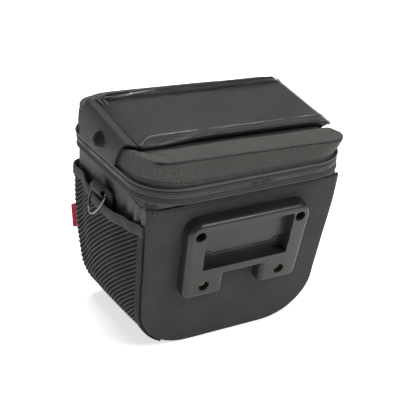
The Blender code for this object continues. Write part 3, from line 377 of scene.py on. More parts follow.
class Builder:
    # gathers points, faces and cloth coordinates of one piece
    def __init__(self):
        self.points, self.faces, self.uvs = [], [], []

    def grid(self, rows, closedAcross=False, closedAlong=False):
        base, count, height = len(self.points), len(rows[0]), len(rows)
        for row in rows:
            self.points += row
        along = lengthsOf(rows[height // 2], closedAcross)
        up = lengthsOf([row[count // 2] for row in rows], closedAlong)
        for i in range(height if closedAlong else height - 1):
            low, high = base + i * count, base + (i + 1) % height * count
            for j in range(count if closedAcross else count - 1):
                m = (j + 1) % count
                self.faces.append((low + j, low + m, high + m, high + j))
                self.uvs.append(((along[j], up[i]), (along[j + 1], up[i]), (along[j + 1], up[i + 1]),
                                 (along[j], up[i + 1])))
        return base

    def strip(self, first, second, closed=False):
        # faces between two runs of point numbers
        for j in range(len(first) if closed else len(first) - 1):
            m = (j + 1) % len(first)
            self.faces.append((first[j], first[m], second[m], second[j]))
            size = (self.points[first[m]] - self.points[first[j]]).length
            self.uvs.append(((j * size, 0), (j * size + size, 0), (j * size + size, mm), (j * size, mm)))

    def cap(self, numbers):
        self.faces.append(tuple(numbers))
        self.uvs.append([(self.points[n].x, self.points[n].y) for n in numbers])

    def solid(self, rings):
        # a skin round closed rings, capped at both ends
        count = len(rings[0])
        base = self.grid(rings, True)
        last = base + (len(rings) - 1) * count
        self.cap(range(base, base + count))
        self.cap(range(last, last + count))

    def sweep(self, rows):
        # a profile carried along a path: each row runs along it, and the rows close round it
        count = len(rows[0])
        base = self.grid(rows, False, True)
        for j in (0, count - 1):
            self.cap(range(base + j, base + j + len(rows) * count, count))

    def shell(self, outer, inner, openAtTop):
        # two skins of closed rings, joined round the mouth and capped at the other end
        count = len(outer[0])
        starts = [self.grid(outer, True), self.grid(inner, True)]
        last = (len(outer) - 1) * count
        mouth, shut = (last, 0) if openAtTop else (0, last)
        self.strip(*[range(base + mouth, base + mouth + count) for base in starts], closed=True)
        for base in starts:
            self.cap(range(base + shut, base + shut + count))

    def wall(self, outer, inner):
        # a sheet with two sides and closed edges
        height, count = len(outer), len(outer[0])
        starts = [self.grid(outer), self.grid(inner)]
        for i in (0, height - 1):
            self.strip(*[range(base + i * count, base + (i + 1) * count) for base in starts])
        for j in (0, count - 1):
            self.strip(*[range(base + j, base + j + height * count, count) for base in starts])

    def tube(self, path, radius, sides, closed=False, flat=1.0, normals=None):
        # a round or flattened strand along a path
        rows = []
        count, turns = len(path), circle(sides)
        for i, point in enumerate(path):
            after = path[(i + 1) % count] if closed or i < count - 1 else point
            before = path[i - 1] if closed or i > 0 else point
            tangent = (after - before).normalized()
            normal = normals[i] if normals else Vector((0, 0, 1))
            side = tangent.cross(normal)
            side = side.normalized() if side.length > 1e-6 else tangent.orthogonal().normalized()
            normal = side.cross(tangent)
            rows.append([point + side * radius * c + normal * radius * flat * s for c, s in turns])
        if closed:
            self.grid(rows, True, True)
        else:
            self.solid(rows)

    def make(self, name, key, slot, node=None, rider="bag", sharp=None):
        # the finished piece, in place of a solid where one is named
        mesh = bpy.data.meshes.new(name)
        mesh.from_pydata([tuple(p) for p in self.points], [], self.faces)
        layer = mesh.uv_layers.new(name="cloth")
        layer.data.foreach_set("uv", [value for face in self.uvs for pair in face for value in pair])
        data = bmesh.new()
        data.from_mesh(mesh)
        bmesh.ops.recalc_face_normals(data, faces=data.faces)
        data.to_mesh(mesh)
        data.free()
        mesh.materials.append(finish[key])
        mesh.shade_smooth()
        if sharp is not None:
            mesh.set_sharp_from_angle(angle=math.radians(sharp))
        piece = intoScene(name, mesh)
        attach(piece, rider)
        if node is not None:
            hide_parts(node)
        return piece


def offsetRows(rows, distance):
    # move a grid of points along its own normals
    moved = []
    for i, row in enumerate(rows):
        line = []
        for j, point in enumerate(row):
            along = row[min(j + 1, len(row) - 1)] - row[max(j - 1, 0)]
            across = rows[min(i + 1, len(rows) - 1)][j] - rows[max(i - 1, 0)][j]
            line.append(point + along.cross(across).normalized() * distance)
        moved.append(line)
    return moved


# the bag's outside
def zipHeight(y):
    return zipLine["back"] + zipSlope * (y + centreY)


def bodySection(height):
    level = body["levels"][0]
    angle, narrow = math.pi / 2, 0.0
    if height < level[0] * zipLine["back"]:
        # rounded bottom
        angle = min(angle, math.acos(max(-1.0, 1 - height / body["bottomRadius"])))
        narrow = body["bottomRadius"] * (1 - math.sin(angle))
    else:
        up = height / zipLine["back"]
        level = [up] + [lookup(body["levels"], up, column) for column in range(1, 6)]
    flare = smooth(level[5])
    drop = zipLine["back"] - height
    thick = (body["panel"] + cloth["gap"]) / math.cos(body["backLean"])
    backPlane = body["backInset"] + drop * math.tan(body["backLean"]) + thick
    frontPlane = zipLine["depth"] - body["frontInset"] - drop * math.tan(body["frontLean"])
    return {"height": height, "angle": angle,
            "back": backPlane + flare * (proud - backPlane) - centreY,
            "front": frontPlane + flare * (zipLine["depth"] - proud - frontPlane) - centreY,
            "halfBack": level[1] * topHalf - narrow, "halfFront": level[2] * topHalf - narrow,
            "cornerBack": level[3] * seamCorner, "cornerFront": level[4] * seamCorner}


def grown(section, distance):
    # the section with its wall moved outward
    sideways = distance * math.sin(section["angle"])
    bigger = dict(section)
    bigger["halfBack"] += sideways
    bigger["halfFront"] += sideways
    bigger["back"] -= distance
    bigger["front"] += distance
    bigger["cornerBack"] = max(0.8 * mm, section["cornerBack"] + distance)
    bigger["cornerFront"] = max(0.8 * mm, section["cornerFront"] + distance)
    bigger["height"] -= distance * math.cos(section["angle"])
    return bigger


def onSection(section, station):
    # a point of the section: kind is the stretch, value the share or the angle along it
    kind, value, side = station
    rBack, rFront = section["cornerBack"], section["cornerFront"]
    depth = section["front"] - section["back"]
    widening = (section["halfFront"] - section["halfBack"]) / depth

    def halfWidth(y):
        return section["halfBack"] + widening * (y - section["back"])

    turn = math.radians(value)
    if kind == "back":
        y = section["back"]
        x = value * (section["halfBack"] - rBack)
    elif kind == "backCorner":
        y = section["back"] + rBack * (1 - math.cos(turn))
        x = halfWidth(y) - rBack * (1 - math.sin(turn))
    elif kind == "side":
        y = section["back"] + rBack + value * (depth - rBack - rFront)
        x = halfWidth(y)
    elif kind == "frontCorner":
        y = section["front"] - rFront * (1 - math.sin(turn))
        x = halfWidth(y) - rFront * (1 - math.cos(turn))
    else:
        y = section["front"]
        x = value * (section["halfFront"] - rFront)
    z = section["height"] * (1 + zipSlope / zipLine["back"] * (y - section["back"]))
    return Vector((side * x, y, z))


def stationsRound(back, corner, side, front):
    # places round a section, left half from the back's middle to the front's middle, then mirrored
    half = [("back", i / back) for i in range(back)]
    half += [("backCorner", 90 * i / corner) for i in range(corner)]
    half += [("side", i / side) for i in range(side)]
    half += [("frontCorner", 90 * i / corner) for i in range(corner)]
    half += [("front", 1 - i / front) for i in range(front + 1)]
    left = [(kind, value, -1) for kind, value in half]
    return left + [(kind, value, 1) for kind, value, _ in reversed(left[1:-1])]


def foldAt(section, station):
    kind, value, _ = station
    if kind != "side":
        return 0.0
    up = section["height"] / zipLine["back"]
    strength = smooth((up - 0.62) / 0.15) * smooth((0.97 - up) / 0.06)
    return body["sideFold"] * curveLookup(body["folds"], value) * strength


def hangIn(point, height):
    # the left side hangs in a little towards the bottom
    if point.x < 0:
        point.x *= 1 - body["hang"] * smooth(1 - height / body["hangHeight"])
    return point


def wallPoint(height, station, outward):
    section = bodySection(height)
    point = onSection(grown(section, outward), station)
    point.x -= station[2] * foldAt(section, station)
    return hangIn(point, height)


def zipPoint(station, outward, up):
    point = onSection(grown(bodySection(zipLine["back"]), outward), station)
    return Vector((point.x, point.y, zipHeight(point.y) + up))


# stitch rows: pitch, length of a stitch, thickness of the thread
sewing = {
    "panel": (2.6 * mm, 1.7 * mm, 0.45 * mm), "lid": (2.7 * mm, 1.5 * mm, 0.55 * mm),
    "tape": (2.5 * mm, 1.6 * mm, 0.4 * mm), "pocketEdge": (2.4 * mm, 1.6 * mm, 0.4 * mm),
    "ladder": (2.7 * mm, 1.9 * mm, 0.5 * mm),
}
stitchArch = ((0.0, -0.3), (0.2, 0.375), (0.5, 0.5), (0.8, 0.375), (1.0, -0.3))     # place, height in threads


def seam(pointAt, places, out, beyond):
    # points of a stitch row with the way out of the cloth at each
    line = [pointAt(place, out) for place in places]
    return [(p, (pointAt(place, beyond) - p).normalized()) for p, place in zip(line, places)]


def stitches(thread, track, row, closed=False, holes=None):
    # stitches that dip into the cloth at their ends, with a near-black mark painted between them as the shade
    # of the needle hole
    pitch, length, width = sewing[row]
    points = [p for p, _ in track]
    normals = [n for _, n in track]
    if closed:
        points, normals = points + points[:1], normals + normals[:1]
    run = lengthsOf(points)
    count = max(1, int(run[-1] / pitch))
    step = run[-1] / count
    for i in range(count):
        ends = []
        for at in (i * step + (step - length) / 2, i * step + (step + length) / 2):
            j, part = spotOn(run, at)
            ends.append((points[j].lerp(points[j + 1], part), normals[j].lerp(normals[j + 1], part)))
        (a, n), (b, m) = ends
        # a short flat near-black tube: painted shade of the hole
        if holes is not None:
            along = (b - a).normalized()
            spot = b + along * (step - length) / 2 + m * 0.04 * mm
            reach = along * min(0.75 * (step - length), 1.0 * mm) / 2
            holes.tube([spot - reach, spot + reach], width * 0.62, 6, normals=[m, m], flat=0.25)
        path = [a.lerp(b, at) + n.lerp(m, at) * rise * width for at, rise in stitchArch]
        thread.tube(path, width / 2, 5, normals=[n] * len(path))


# body
bodyStations = stationsRound(16, 14, 96, 16)
wallStart, rim = body["levels"][0][0] * zipLine["back"], zipLine["back"] - zipLine["edge"]
bodyHeights = [body["bottomRadius"] * (1 - math.cos(math.radians(a))) for a in range(0, 96, 6)]
bodyHeights += [wallStart + (rim - wallStart) * share(i, 47) for i in range(47)]


def bodyRelief(height, station):
    # slack in the cloth, seams down the front corners, and creases above the pockets
    kind, value, side = station
    up = height / zipLine["back"]
    inside = smooth(up / 0.12) * smooth((0.9 - up) / 0.12)
    probe = wallPoint(height, station, 0.0)
    out = grain(probe, 34 * mm, 3.1) * body["slack"] * inside
    if kind == "front":
        out += body["crown"] * (1 - value ** 4) * inside
    if kind == "frontCorner":
        out -= body["seam"] * hill(value, 88, 5) * smooth(up / 0.1) * smooth((0.96 - up) / 0.04)
    if kind == "side":
        upper = smooth((up - 0.7) / 0.1) * smooth((0.955 - up) / 0.05)
        lean = value + (up - 0.85) * 0.25 * (1 if side < 0 else -1)
        for middle, width, depth in body["creases"]:
            out += hill(lean, middle, width) * depth * mm * upper
    return out


def makeBody():
    outer = [[wallPoint(h, s, bodyRelief(h, s)) for s in bodyStations] for h in bodyHeights]
    inner = [[wallPoint(h, s, -cloth["wall"]) for s in bodyStations] for h in bodyHeights]
    made = Builder()
    made.shell(outer, inner, openAtTop=True)
    made.make("bodyCloth", "body", "body_cloth", "body_shell", sharp=60)


# back panel
panel = {
    "stitchIn": 3.4 * mm,             # stitch row, down from the top edge
    "wave": 0.35 * mm, "hem": 0.35 * mm,
    "edge": (0.35, 0.8, 0.95),        # share of the thickness in the rows next to an upright edge
}


def panelPoint(height, station, outward):
    section = grown(bodySection(height), outward)
    section["height"] = height
    return hangIn(onSection(section, station), height)


def makePanel():
    half = [("backCorner", body["panelTurn"] * (1 - i / 9), -1) for i in range(9)]
    half += [("back", 1 - i / 26, -1) for i in range(26)]
    stations = half + [("back", 0.0, 1)] + [(kind, value, 1) for kind, value, _ in reversed(half)]
    top = body["panelTop"]
    heights = [h for h in bodyHeights if h < top - 1.2 * mm] + [top - 0.9 * mm, top - 0.3 * mm, top]

    def out(j, height, station):
        # thin at the turned edges, hardly wavy in between
        edge = min(j, len(stations) - 1 - j)
        rounded = panel["edge"][edge] if edge < 3 else 1.0
        fromTop = top - height
        rounded *= 0.4 if fromTop < 0.05 * mm else (0.8 if fromTop < 0.5 * mm else 1.0)
        wave = panel["wave"] * grain(panelPoint(height, station, 0.0), 40 * mm, 7.7)
        wave = wave * smooth(height / (20 * mm)) - panel["hem"] * hill(fromTop, panel["stitchIn"], 0.9 * mm)
        return cloth["gap"] + body["panel"] * rounded + (wave if edge > 3 else 0)

    outer = [[panelPoint(h, s, out(j, h, s)) for j, s in enumerate(stations)] for h in heights]
    inner = [[panelPoint(h, s, cloth["gap"]) for s in stations] for h in heights]
    made = Builder()
    made.wall(outer, inner)
    made.make("backPanelCloth", "panel", "panel_cloth", "back_panel", sharp=60)
    thread, holeShade = Builder(), Builder()
    face = cloth["gap"] + body["panel"] + 0.05 * mm
    track = seam(lambda s, out: panelPoint(top - panel["stitchIn"], s, out), stations[6:-6], face - 0.2 * mm,
                 face + 2 * mm)
    stitches(thread, track, "panel", holes=holeShade)
    thread.make("panelStitches", "thread", "panel_cloth")
    holeShade.make("panelStitchHoleShade", "hole", "panel_cloth")


# lid
lid = {
    "wall": 22.7 * mm,        # height of its wall above the zip
    "inset": 1.7 * mm,        # how far the crease is drawn in
    "dome": 6.2 * mm,         # how far the top rises above the crease
    "roll": math.radians(2.4),      # the top falls to the right
    "sideDrop": 5.2 * mm,     # how far the crease sinks beside the flap
    "frontDrop": 3.4 * mm,
    "clear": 1.5 * mm,        # space left under the flap
    "margin": 6.0 * mm,       # width over which the top rises again beside the flap
    "belly": 1.3 * mm,        # how far the right end swells
    "slack": 0.45 * mm,
    # relief of the wall: full back corners and the tuck in them, sway of the back and sides, sewn line
    "full": 0.7 * mm, "tuck": 0.8 * mm, "sway": 0.3 * mm, "sewnIn": 0.5 * mm,
    "point": 1.3 * mm,        # depth of the fold line's open end at the left back corner
    "round": 1.1 * mm,        # rounding of the crease
    "groove": 1.1 * mm,       # depth of the fine fold line under the crease
    "grooveUp": 0.93,
    # rings of the top: mm in from the crease
    "rings": (0.3, 0.7, 1.0, 1.3, 1.6, 2.0, 2.6, 3.6, 5.0, 7.0, 9.5, 12.5, 16, 20, 25, 31, 38, 46, 55, 64, 72,
              76),
    # soft peaks of the back corners: place and height
    "ears": (((-73 * mm, -44 * mm), 2.6 * mm), ((79 * mm, -48 * mm), 1.5 * mm)),
    "earWide": 9 * mm,
    # hollow beside the left peak: both ends, width, depth
    "valley": ((-72 * mm, -34 * mm), (-62 * mm, -70 * mm), 3.6 * mm, 3.0 * mm),
    "stitchUp": 7.4 * mm,     # height of the stitch row above the zip line
    "profile": ((0.0, 0.0), (0.12, -0.1), (0.25, -0.12), (0.45, 0.35), (0.65, 0.8), (0.78, 1.0), (0.88, 0.6),
                (1.0, -0.2)),
    # wall: height share, inset share, back corner share
    "levels": ((0.0, 0.0, 1.0), (0.35, 0.0, 1.0), (0.7, 0.3, 0.8), (1.0, 1.0, 0.56)),
}

flap = {
    "height": 174.3 * mm, "backward": 5.5 * mm, "tilt": math.radians(10.8), "yaw": math.radians(1.8),
    "roll": math.radians(2.8), "halfDepth": 37.3 * mm, "rise": 4.0 * mm, "thick": 1.4 * mm,
    "film": 0.8 * mm, "pocketLength": 140 * mm, "pocketWidth": 69 * mm, "pocketDepth": 6.8 * mm,
    "endMargin": 6.5 * mm, "pocketWall": 1.8 * mm, "tabWidth": 64 * mm, "tabForward": 13.5 * mm,
    "tuck": 8.5 * mm,          # how far the back left corner is drawn in
    "outreach": 2.6 * mm,      # how far the left tab's bend stands out over the lid's side
    "tabBend": {-1: 0.2, 1: 0.0},     # forward bend of each tab
    "overhang": 9.5 * mm,      # how far the right end stands out over the lid's side
    "farDrop": 1.8 * mm, "endDrop": 6.2 * mm,     # how far the film sinks at its far edge and its open end
    "filmWave": 0.35 * mm, "filmSag": 0.25 * mm,
}
flapFloor = -(flap["film"] + flap["pocketDepth"])
flapHalf = flap["pocketLength"] / 2 + flap["endMargin"]
flapRight = flapHalf + flap["overhang"]
flapSpin = (Matrix.Rotation(flap["yaw"], 4, "Z") @ Matrix.Rotation(flap["roll"], 4, "Y")
            @ Matrix.Rotation(flap["tilt"], 4, "X"))
flapFrame = Matrix.Translation((0.0, -flap["backward"], flap["height"])) @ flapSpin
flapBack = flapFrame.inverted()


def sideDrop(along):
    besideFlap = smooth((along - 0.1) / 0.16) * smooth((0.78 - along) / 0.28)
    return lid["sideDrop"] * besideFlap + lid["frontDrop"] * smooth((along - 0.6) / 0.3)


def lidTop(x, y, crease):
    depth = crease["front"] - crease["back"]
    along = (y - crease["back"]) / depth
    across = min(1.0, abs(x) / crease["halfBack"])
    shoulder = (1 - across ** 8) ** (1 / 3)
    ends = smooth(min(along, 1 - along) / 0.03)
    base = zipHeight(y) + lid["wall"] - x * math.tan(lid["roll"]) - sideDrop(along) * across ** 6
    free = base + lid["dome"] * curveLookup(lid["profile"], along) * shoulder * ends
    under = flapBack @ Vector((x, y, free))
    past = smooth((abs(under.y) - flap["halfDepth"] - lid["margin"] * 0.6) / (lid["margin"] * 0.8))
    lowest = flapFrame @ Vector((under.x, under.y, flapFloor - flap["thick"] - lid["clear"]))
    pressed = softMin(free, lowest.z, 1.0 * mm)
    return pressed + (free - pressed) * past


def lidSection(inset, cornerShare):
    section = grown(bodySection(zipLine["back"]), -inset)
    section["cornerBack"] *= cornerShare
    return section


def lidRelief(station, up):
    # soft hollows of the wall: up runs from 0 at the zip to 1 at the crease and 1.3 on the top
    kind, value, side = station
    out = 0.0
    above = smooth((up - 0.3) / 0.2) * smooth((1.5 - up) / 0.3)
    if kind == "backCorner":
        out += lid["full"] * hill(value, 48, 22) * above
        out -= lid["tuck"] * hill(value + (up - 1) * 40, 8, 5) * above * smooth((up - 0.7) / 0.2)
    if kind in ("back", "side"):
        out += lid["sway"] * math.sin(value * 5 + side) * above
    out -= lid["sewnIn"] * hill(up, lid["stitchUp"] / lid["wall"], 0.04)
    # the fold line, open to a point beside the left back corner
    line = {"back": 1.0, "backCorner": 1.0 if side > 0 else smooth((50 - value) / 12), "frontCorner": 0.6,
            "side": 0.8 if side > 0 else 0.0, "front": 0.6}[kind]
    out -= lid["groove"] * line * hill(up, lid["grooveUp"], 0.019)
    if kind == "backCorner" and side < 0:
        out -= lid["point"] * hill(value, 34, 9) * hill(up, lid["grooveUp"] - 0.015, 0.04)
    if side > 0 and kind != "front":
        # the right end bellies out a little
        out += lid["belly"] * smooth((up - 0.2) / 0.6) * (value if kind == "back" else 1.0) ** 3
    return out


def lidSlack(x, y, further):
    # soft peaks of the back corners, the hollow beside the left one and a little unevenness
    out = lid["slack"] * grain((x, y, 0), 24 * mm, 1.3) * smooth(further / 6)
    for spot, tall in lid["ears"]:
        out += tall * hill(math.hypot(x - spot[0], y - spot[1]), 0, lid["earWide"])
    start, end, wide, deep = lid["valley"]
    return out - deep * hill(offLine(x, y, start, end), 0, wide)


def makeLid():
    stations = stationsRound(24, 20, 48, 18)
    low, r = zipLine["edge"], lid["round"]
    creaseCorner = lid["levels"][-1][2]

    def wallRing(up, inward):
        drawn = lid["inset"] * curveLookup(lid["levels"], up, 1) + inward
        corner = curveLookup(lid["levels"], up, 2)
        ring = []
        for station in stations:
            section = lidSection(drawn - (0 if inward else lidRelief(station, up)), corner)
            point = onSection(section, station)
            along = (point.y - section["back"]) / (section["front"] - section["back"])
            across = abs(point.x) / section["halfBack"]
            sunk = (point.x * math.tan(lid["roll"]) + sideDrop(along) * across ** 6) * up
            lift = low + up * (lid["wall"] - low - inward)
            ring.append(Vector((point.x, point.y, zipHeight(point.y) + lift - sunk)))
        return ring

    def skin(inward):
        cut = 1 - r / lid["wall"]
        fine = 0.87      # the rings lie closer above this share of the wall
        rows = [wallRing(fine * share(i, 14), inward) for i in range(14)]
        rows += [wallRing(fine + (cut - fine) * i / 11, inward) for i in range(1, 12)]
        crease = lidSection(lid["inset"] + inward, creaseCorner)
        middle = (crease["front"] + crease["back"]) / 2
        # rounded crease, then rings of the top towards the middle
        for turn in (18, 36, 54, 72):
            c, s = math.cos(math.radians(turn)), math.sin(math.radians(turn))
            section = lidSection(lid["inset"] * 0.9 + inward + r * (1 - c), creaseCorner)
            edges = [onSection(section, station) for station in stations]
            rows.append([Vector((p.x, p.y, lidTop(p.x, p.y, crease) - inward - r * (1 - s))) for p in edges])
        edges = [onSection(crease, station) for station in stations]
        for further in lid["rings"]:
            inShare = (r + further * mm) / (zipLine["depth"] / 2)
            if inShare > 0.985:
                break
            ring = []
            for edge in edges:
                x, y = edge.x * (1 - inShare), middle + (edge.y - middle) * (1 - inShare)
                slack = 0 if inward else lidSlack(x, y, further)
                ring.append(Vector((x, y, lidTop(x, y, crease) + slack - inward)))
            rows.append(ring)
        return rows

    made = Builder()
    made.shell(skin(0.0), skin(cloth["wall"]), openAtTop=False)
    made.make("lidCloth", "lid", "lid_cloth", "lid_shell")

    # the stitch row just above the piping
    thread, holeShade = Builder(), Builder()
    up = lid["stitchUp"] / lid["wall"]
    outs = [(p, (q - p).normalized()) for p, q in zip(wallRing(up, 0.0), wallRing(up, -2 * mm))]
    stitches(thread, [(p + out * 0.05 * mm, out) for p, out in outs], "lid", closed=True, holes=holeShade)
    thread.make("lidStitches", "thread", "lid_cloth")
    holeShade.make("lidStitchHoleShade", "hole", "lid_cloth")


makeBody()
makePanel()
makeLid()
print("body, panel and lid made")


# zip
zipSet = {
    "half": 1.0 * mm,         # half height of the chain
    "tape": 4.8 * mm, "tapeRound": 0.35 * mm, "piping": 1.0 * mm,
    "deep": 3.0 * mm, "coreIn": 0.9 * mm, "toothIn": 0.7 * mm,      # inward from the tape's face
    "toothPitch": 1.7 * mm, "tooth": (0.4 * mm, 0.46 * mm, 0.75 * mm),
    "hingeBow": 0.25 * mm,
    "stitchIn": 1.1 * mm,     # stitch row, up from the lower tape's edge
}
toothShape = ((-1, -0.7), (-0.7, -1), (0.7, -1), (1, -0.7), (1, 0.7), (0.7, 1), (-0.7, 1), (-1, 0.7))


def ringBand(name, profile, key, slot, node, stations, closed=True):
    # a profile of (out, up) carried round the zip line
    rows = [[zipPoint(s, out, up) for s in stations] for out, up in profile]
    made = Builder()
    if closed:
        made.grid(rows, True, True)
    else:
        made.sweep(rows)
    made.make(name, key, slot, node, sharp=50)


def makeZip():
    stations = stationsRound(26, 20, 48, 18)
    gap, edge, tape, half = cloth["gap"], zipLine["edge"], zipSet["tape"], zipSet["half"]
    r = zipSet["tapeRound"]
    for name, low, high, node in (("zipTapeLow", -edge - tape, -edge, "zip_tape_lower"),
                                  ("zipTapeHigh", edge, edge + tape / 2, "zip_tape_upper")):
        # flat tape with rounded outer edges
        flat = [(gap, low), (proud - r, low), (proud, low + r),
                (proud, high - r), (proud - r, high), (gap, high)]
        ringBand(name, flat, "tape", "zip_tape", node, stations)
    r = zipSet["piping"]
    centre = edge + tape / 2 + gap + r
    cord = [(gap + r + r * c, centre + r * s) for c, s in circle(10)]
    ringBand("lidPipingCord", cord, "piping", "piping", "lid_piping", stations)

    # teeth: two staggered rows of small blocks on a thin core
    start = max(i for i, s in enumerate(stations) if s[0] == "front") + 1
    zipped = [s for s in stations[start:] + stations[:start] if s[0] != "front"]
    inner, face = proud - zipSet["deep"], proud - zipSet["coreIn"]
    core = [(inner, -half * 0.7), (face, -half * 0.7), (face, half * 0.7), (inner, half * 0.7)]
    # the core is nearly black: painted shade between the teeth
    ringBand("zipCore", core, "ground", "zip_teeth", None, zipped, False)
    made = Builder()
    line = [zipPoint(s, proud - zipSet["toothIn"], 0) for s in zipped]
    beyond = [zipPoint(s, proud + 1 * mm, 0) for s in zipped]
    run = lengthsOf(line)
    count = int(run[-1] / zipSet["toothPitch"])
    rise = Vector((0, 0, 1))
    long, tall, deep = zipSet["tooth"]
    for i in range(count):
        j, part = spotOn(run, (i + 0.5) * run[-1] / count)
        seat = line[j].lerp(line[j + 1], part)
        out = (beyond[j] - line[j]).normalized()
        along = (line[j + 1] - line[j]).normalized()
        for row, shift in ((1, 0.0), (-1, 0.5)):
            middle = seat + along * shift * run[-1] / count + rise * row * half * 0.76
            made.solid([[middle + out * deep * depth + along * long * x * size + rise * tall * y * size
                         for x, y in toothShape] for depth, size in ((-1.0, 1.0), (0.55, 1.0), (1.0, 0.7))])
    made.make("zipTeeth", "teeth", "zip_teeth", "zip_chain", sharp=40)

    hinge = sorted([s for s in stations if s[0] == "front"], key=lambda s: s[1] * s[2])
    face = proud - gap
    strip = [(inner, -half), (face, -half), (face + zipSet["hingeBow"], 0), (face, half), (inner, half)]
    ringBand("lidHinge", strip, "tape", "zip_tape", "lid_hinge_strip", hinge, False)

    thread = Builder()
    up = -edge - tape + zipSet["stitchIn"]
    track = seam(lambda s, out: zipPoint(s, out, up), stations, proud, proud + 2 * mm)
    stitches(thread, track, "tape", closed=True)
    thread.make("tapeStitches", "thread", "zip_tape")


# slider and pull, parked near the front of the right side
slider = {
    "at": 0.93,      # place along the side
    "length": 11 * mm, "width": 8 * mm, "thick": 2.2 * mm, "pullLength": 24 * mm, "pullWidth": 6 * mm,
    # steps from the cloth outward: share of the thickness, size
    "steps": ((0.0, 0.96), (0.136, 1.0), (0.727, 1.0), (0.909, 0.95), (1.0, 0.86)),
    "pullSteps": ((0.0, 0.92), (0.25, 1.0), (0.75, 1.0), (1.0, 0.92)),
}


def makeSlider():
    seat = zipPoint(("side", slider["at"], 1), proud + cloth["gap"], 0)
    half, wide, thick = slider["length"] / 2, slider["width"] / 2, slider["thick"]
    outline = []
    for c, s in circle(40):
        narrow = 1 - 0.35 * smooth((power(c, 0.45) - 0.3) / 0.7)
        outline.append((half * power(c, 0.45), wide * power(s, 0.45) * narrow))
    made = Builder()
    made.solid([[seat + Vector((out * thick, y * size, z * size)) for y, z in outline]
                for out, size in slider["steps"]])
    made.make("zipSliderBody", "black", "slider_metal", "zip_slider", sharp=50)

    long, wide, top = slider["pullLength"], slider["pullWidth"] / 2, slider["width"] * 0.2
    outline = []
    for c, s in circle(48):
        z = long / 2 * power(s, 0.35)
        taper = 1 - 0.45 * smooth((z / long + 0.12) / 0.5)
        outline.append((wide * power(c, 0.5) * taper, top - long / 2 + z))
    foot = seat + Vector((thick + cloth["gap"], 0, 0))
    made = Builder()
    made.solid([[foot + Vector((out * thick * 0.6, y * size, top + (z - top) * (0.5 + size / 2)))
                 for y, z in outline] for out, size in slider["pullSteps"]])
    made.make("zipPullTab", "black", "slider_metal", "zip_pull", sharp=50)


makeZip()
makeSlider()
print("zip made")


# flap over the lid
def rimRise(x, y):
    pastSide = smooth((abs(y) - flap["pocketWidth"] / 2 + 0.5 * mm) / (3 * mm))
    fromLeft = smooth((x + flap["pocketLength"] / 2 - 12 * mm) / (35 * mm))
    fromRight = smooth((flapRight + 2 * mm - x) / (20 * mm))
    left, right = (0.2, 0.2) if y < 0 else (0.35, 0.1)
    return flap["rise"] * pastSide * (left + (1 - left) * fromLeft) * (right + (1 - right) * fromRight)


def flapEdge(x, across):
    if x > 0:
        return across * flap["halfDepth"]
    tuck = flap["tuck"] * smooth((9 * mm - x - flapHalf) / (10 * mm))
    return across * flap["halfDepth"] + tuck * max(0.0, -across)


def flapTopPoint(x, across):
    y = flapEdge(x, across)
    return flapFrame @ Vector((x, y, flapFloor + rimRise(x, y)))


def tabPoint(side, across, down):
    # from the flap's end down to the strip above the piping
    end = flapRight if side > 0 else flapHalf
    fold = flapTopPoint(side * end, across)
    yFoot = flap["tabForward"] - flap["backward"] + across * flap["tabWidth"] / 2
    pipingTop = zipSet["half"] + zipSet["tape"] / 2 + 2 * zipSet["piping"] + 4 * cloth["gap"]
    xFoot = topHalf + proud + flap["thick"] + cloth["gap"]
    foot = Vector((side * xFoot, yFoot, zipHeight(yFoot) + pipingTop))
    reach = max(topHalf + flap["outreach"], end + cloth["gap"])
    lift = flap["outreach"] * 0.7 * smooth((reach - end) / flap["outreach"])
    corner = Vector((side * reach, fold.y + (yFoot - fold.y) * flap["tabBend"][side], fold.z + lift))
    return fold * (1 - down) ** 2 + corner * 2 * down * (1 - down) + foot * down ** 2


acrossPlaces = [-1.0, -0.985] + [-0.96 + 1.92 * i / 50 for i in range(51)] + [0.985, 1.0]


def makeFlap():
    # left tab, top, right tab
    rows = [[tabPoint(-1, s, 1 - i / 18) for s in acrossPlaces] for i in range(19)]
    for i in range(1, 90):
        x = -flapHalf + (flapHalf + flapRight) * i / 90
        rows.append([flapTopPoint(x, s) for s in acrossPlaces])
    rows += [[tabPoint(1, s, i / 18) for s in acrossPlaces] for i in range(19)]
    made = Builder()
    made.wall(rows, offsetRows(rows, flap["thick"]))
    piece = made.make("flapSheet", "coated", "coated_cloth", "flap", sharp=50)


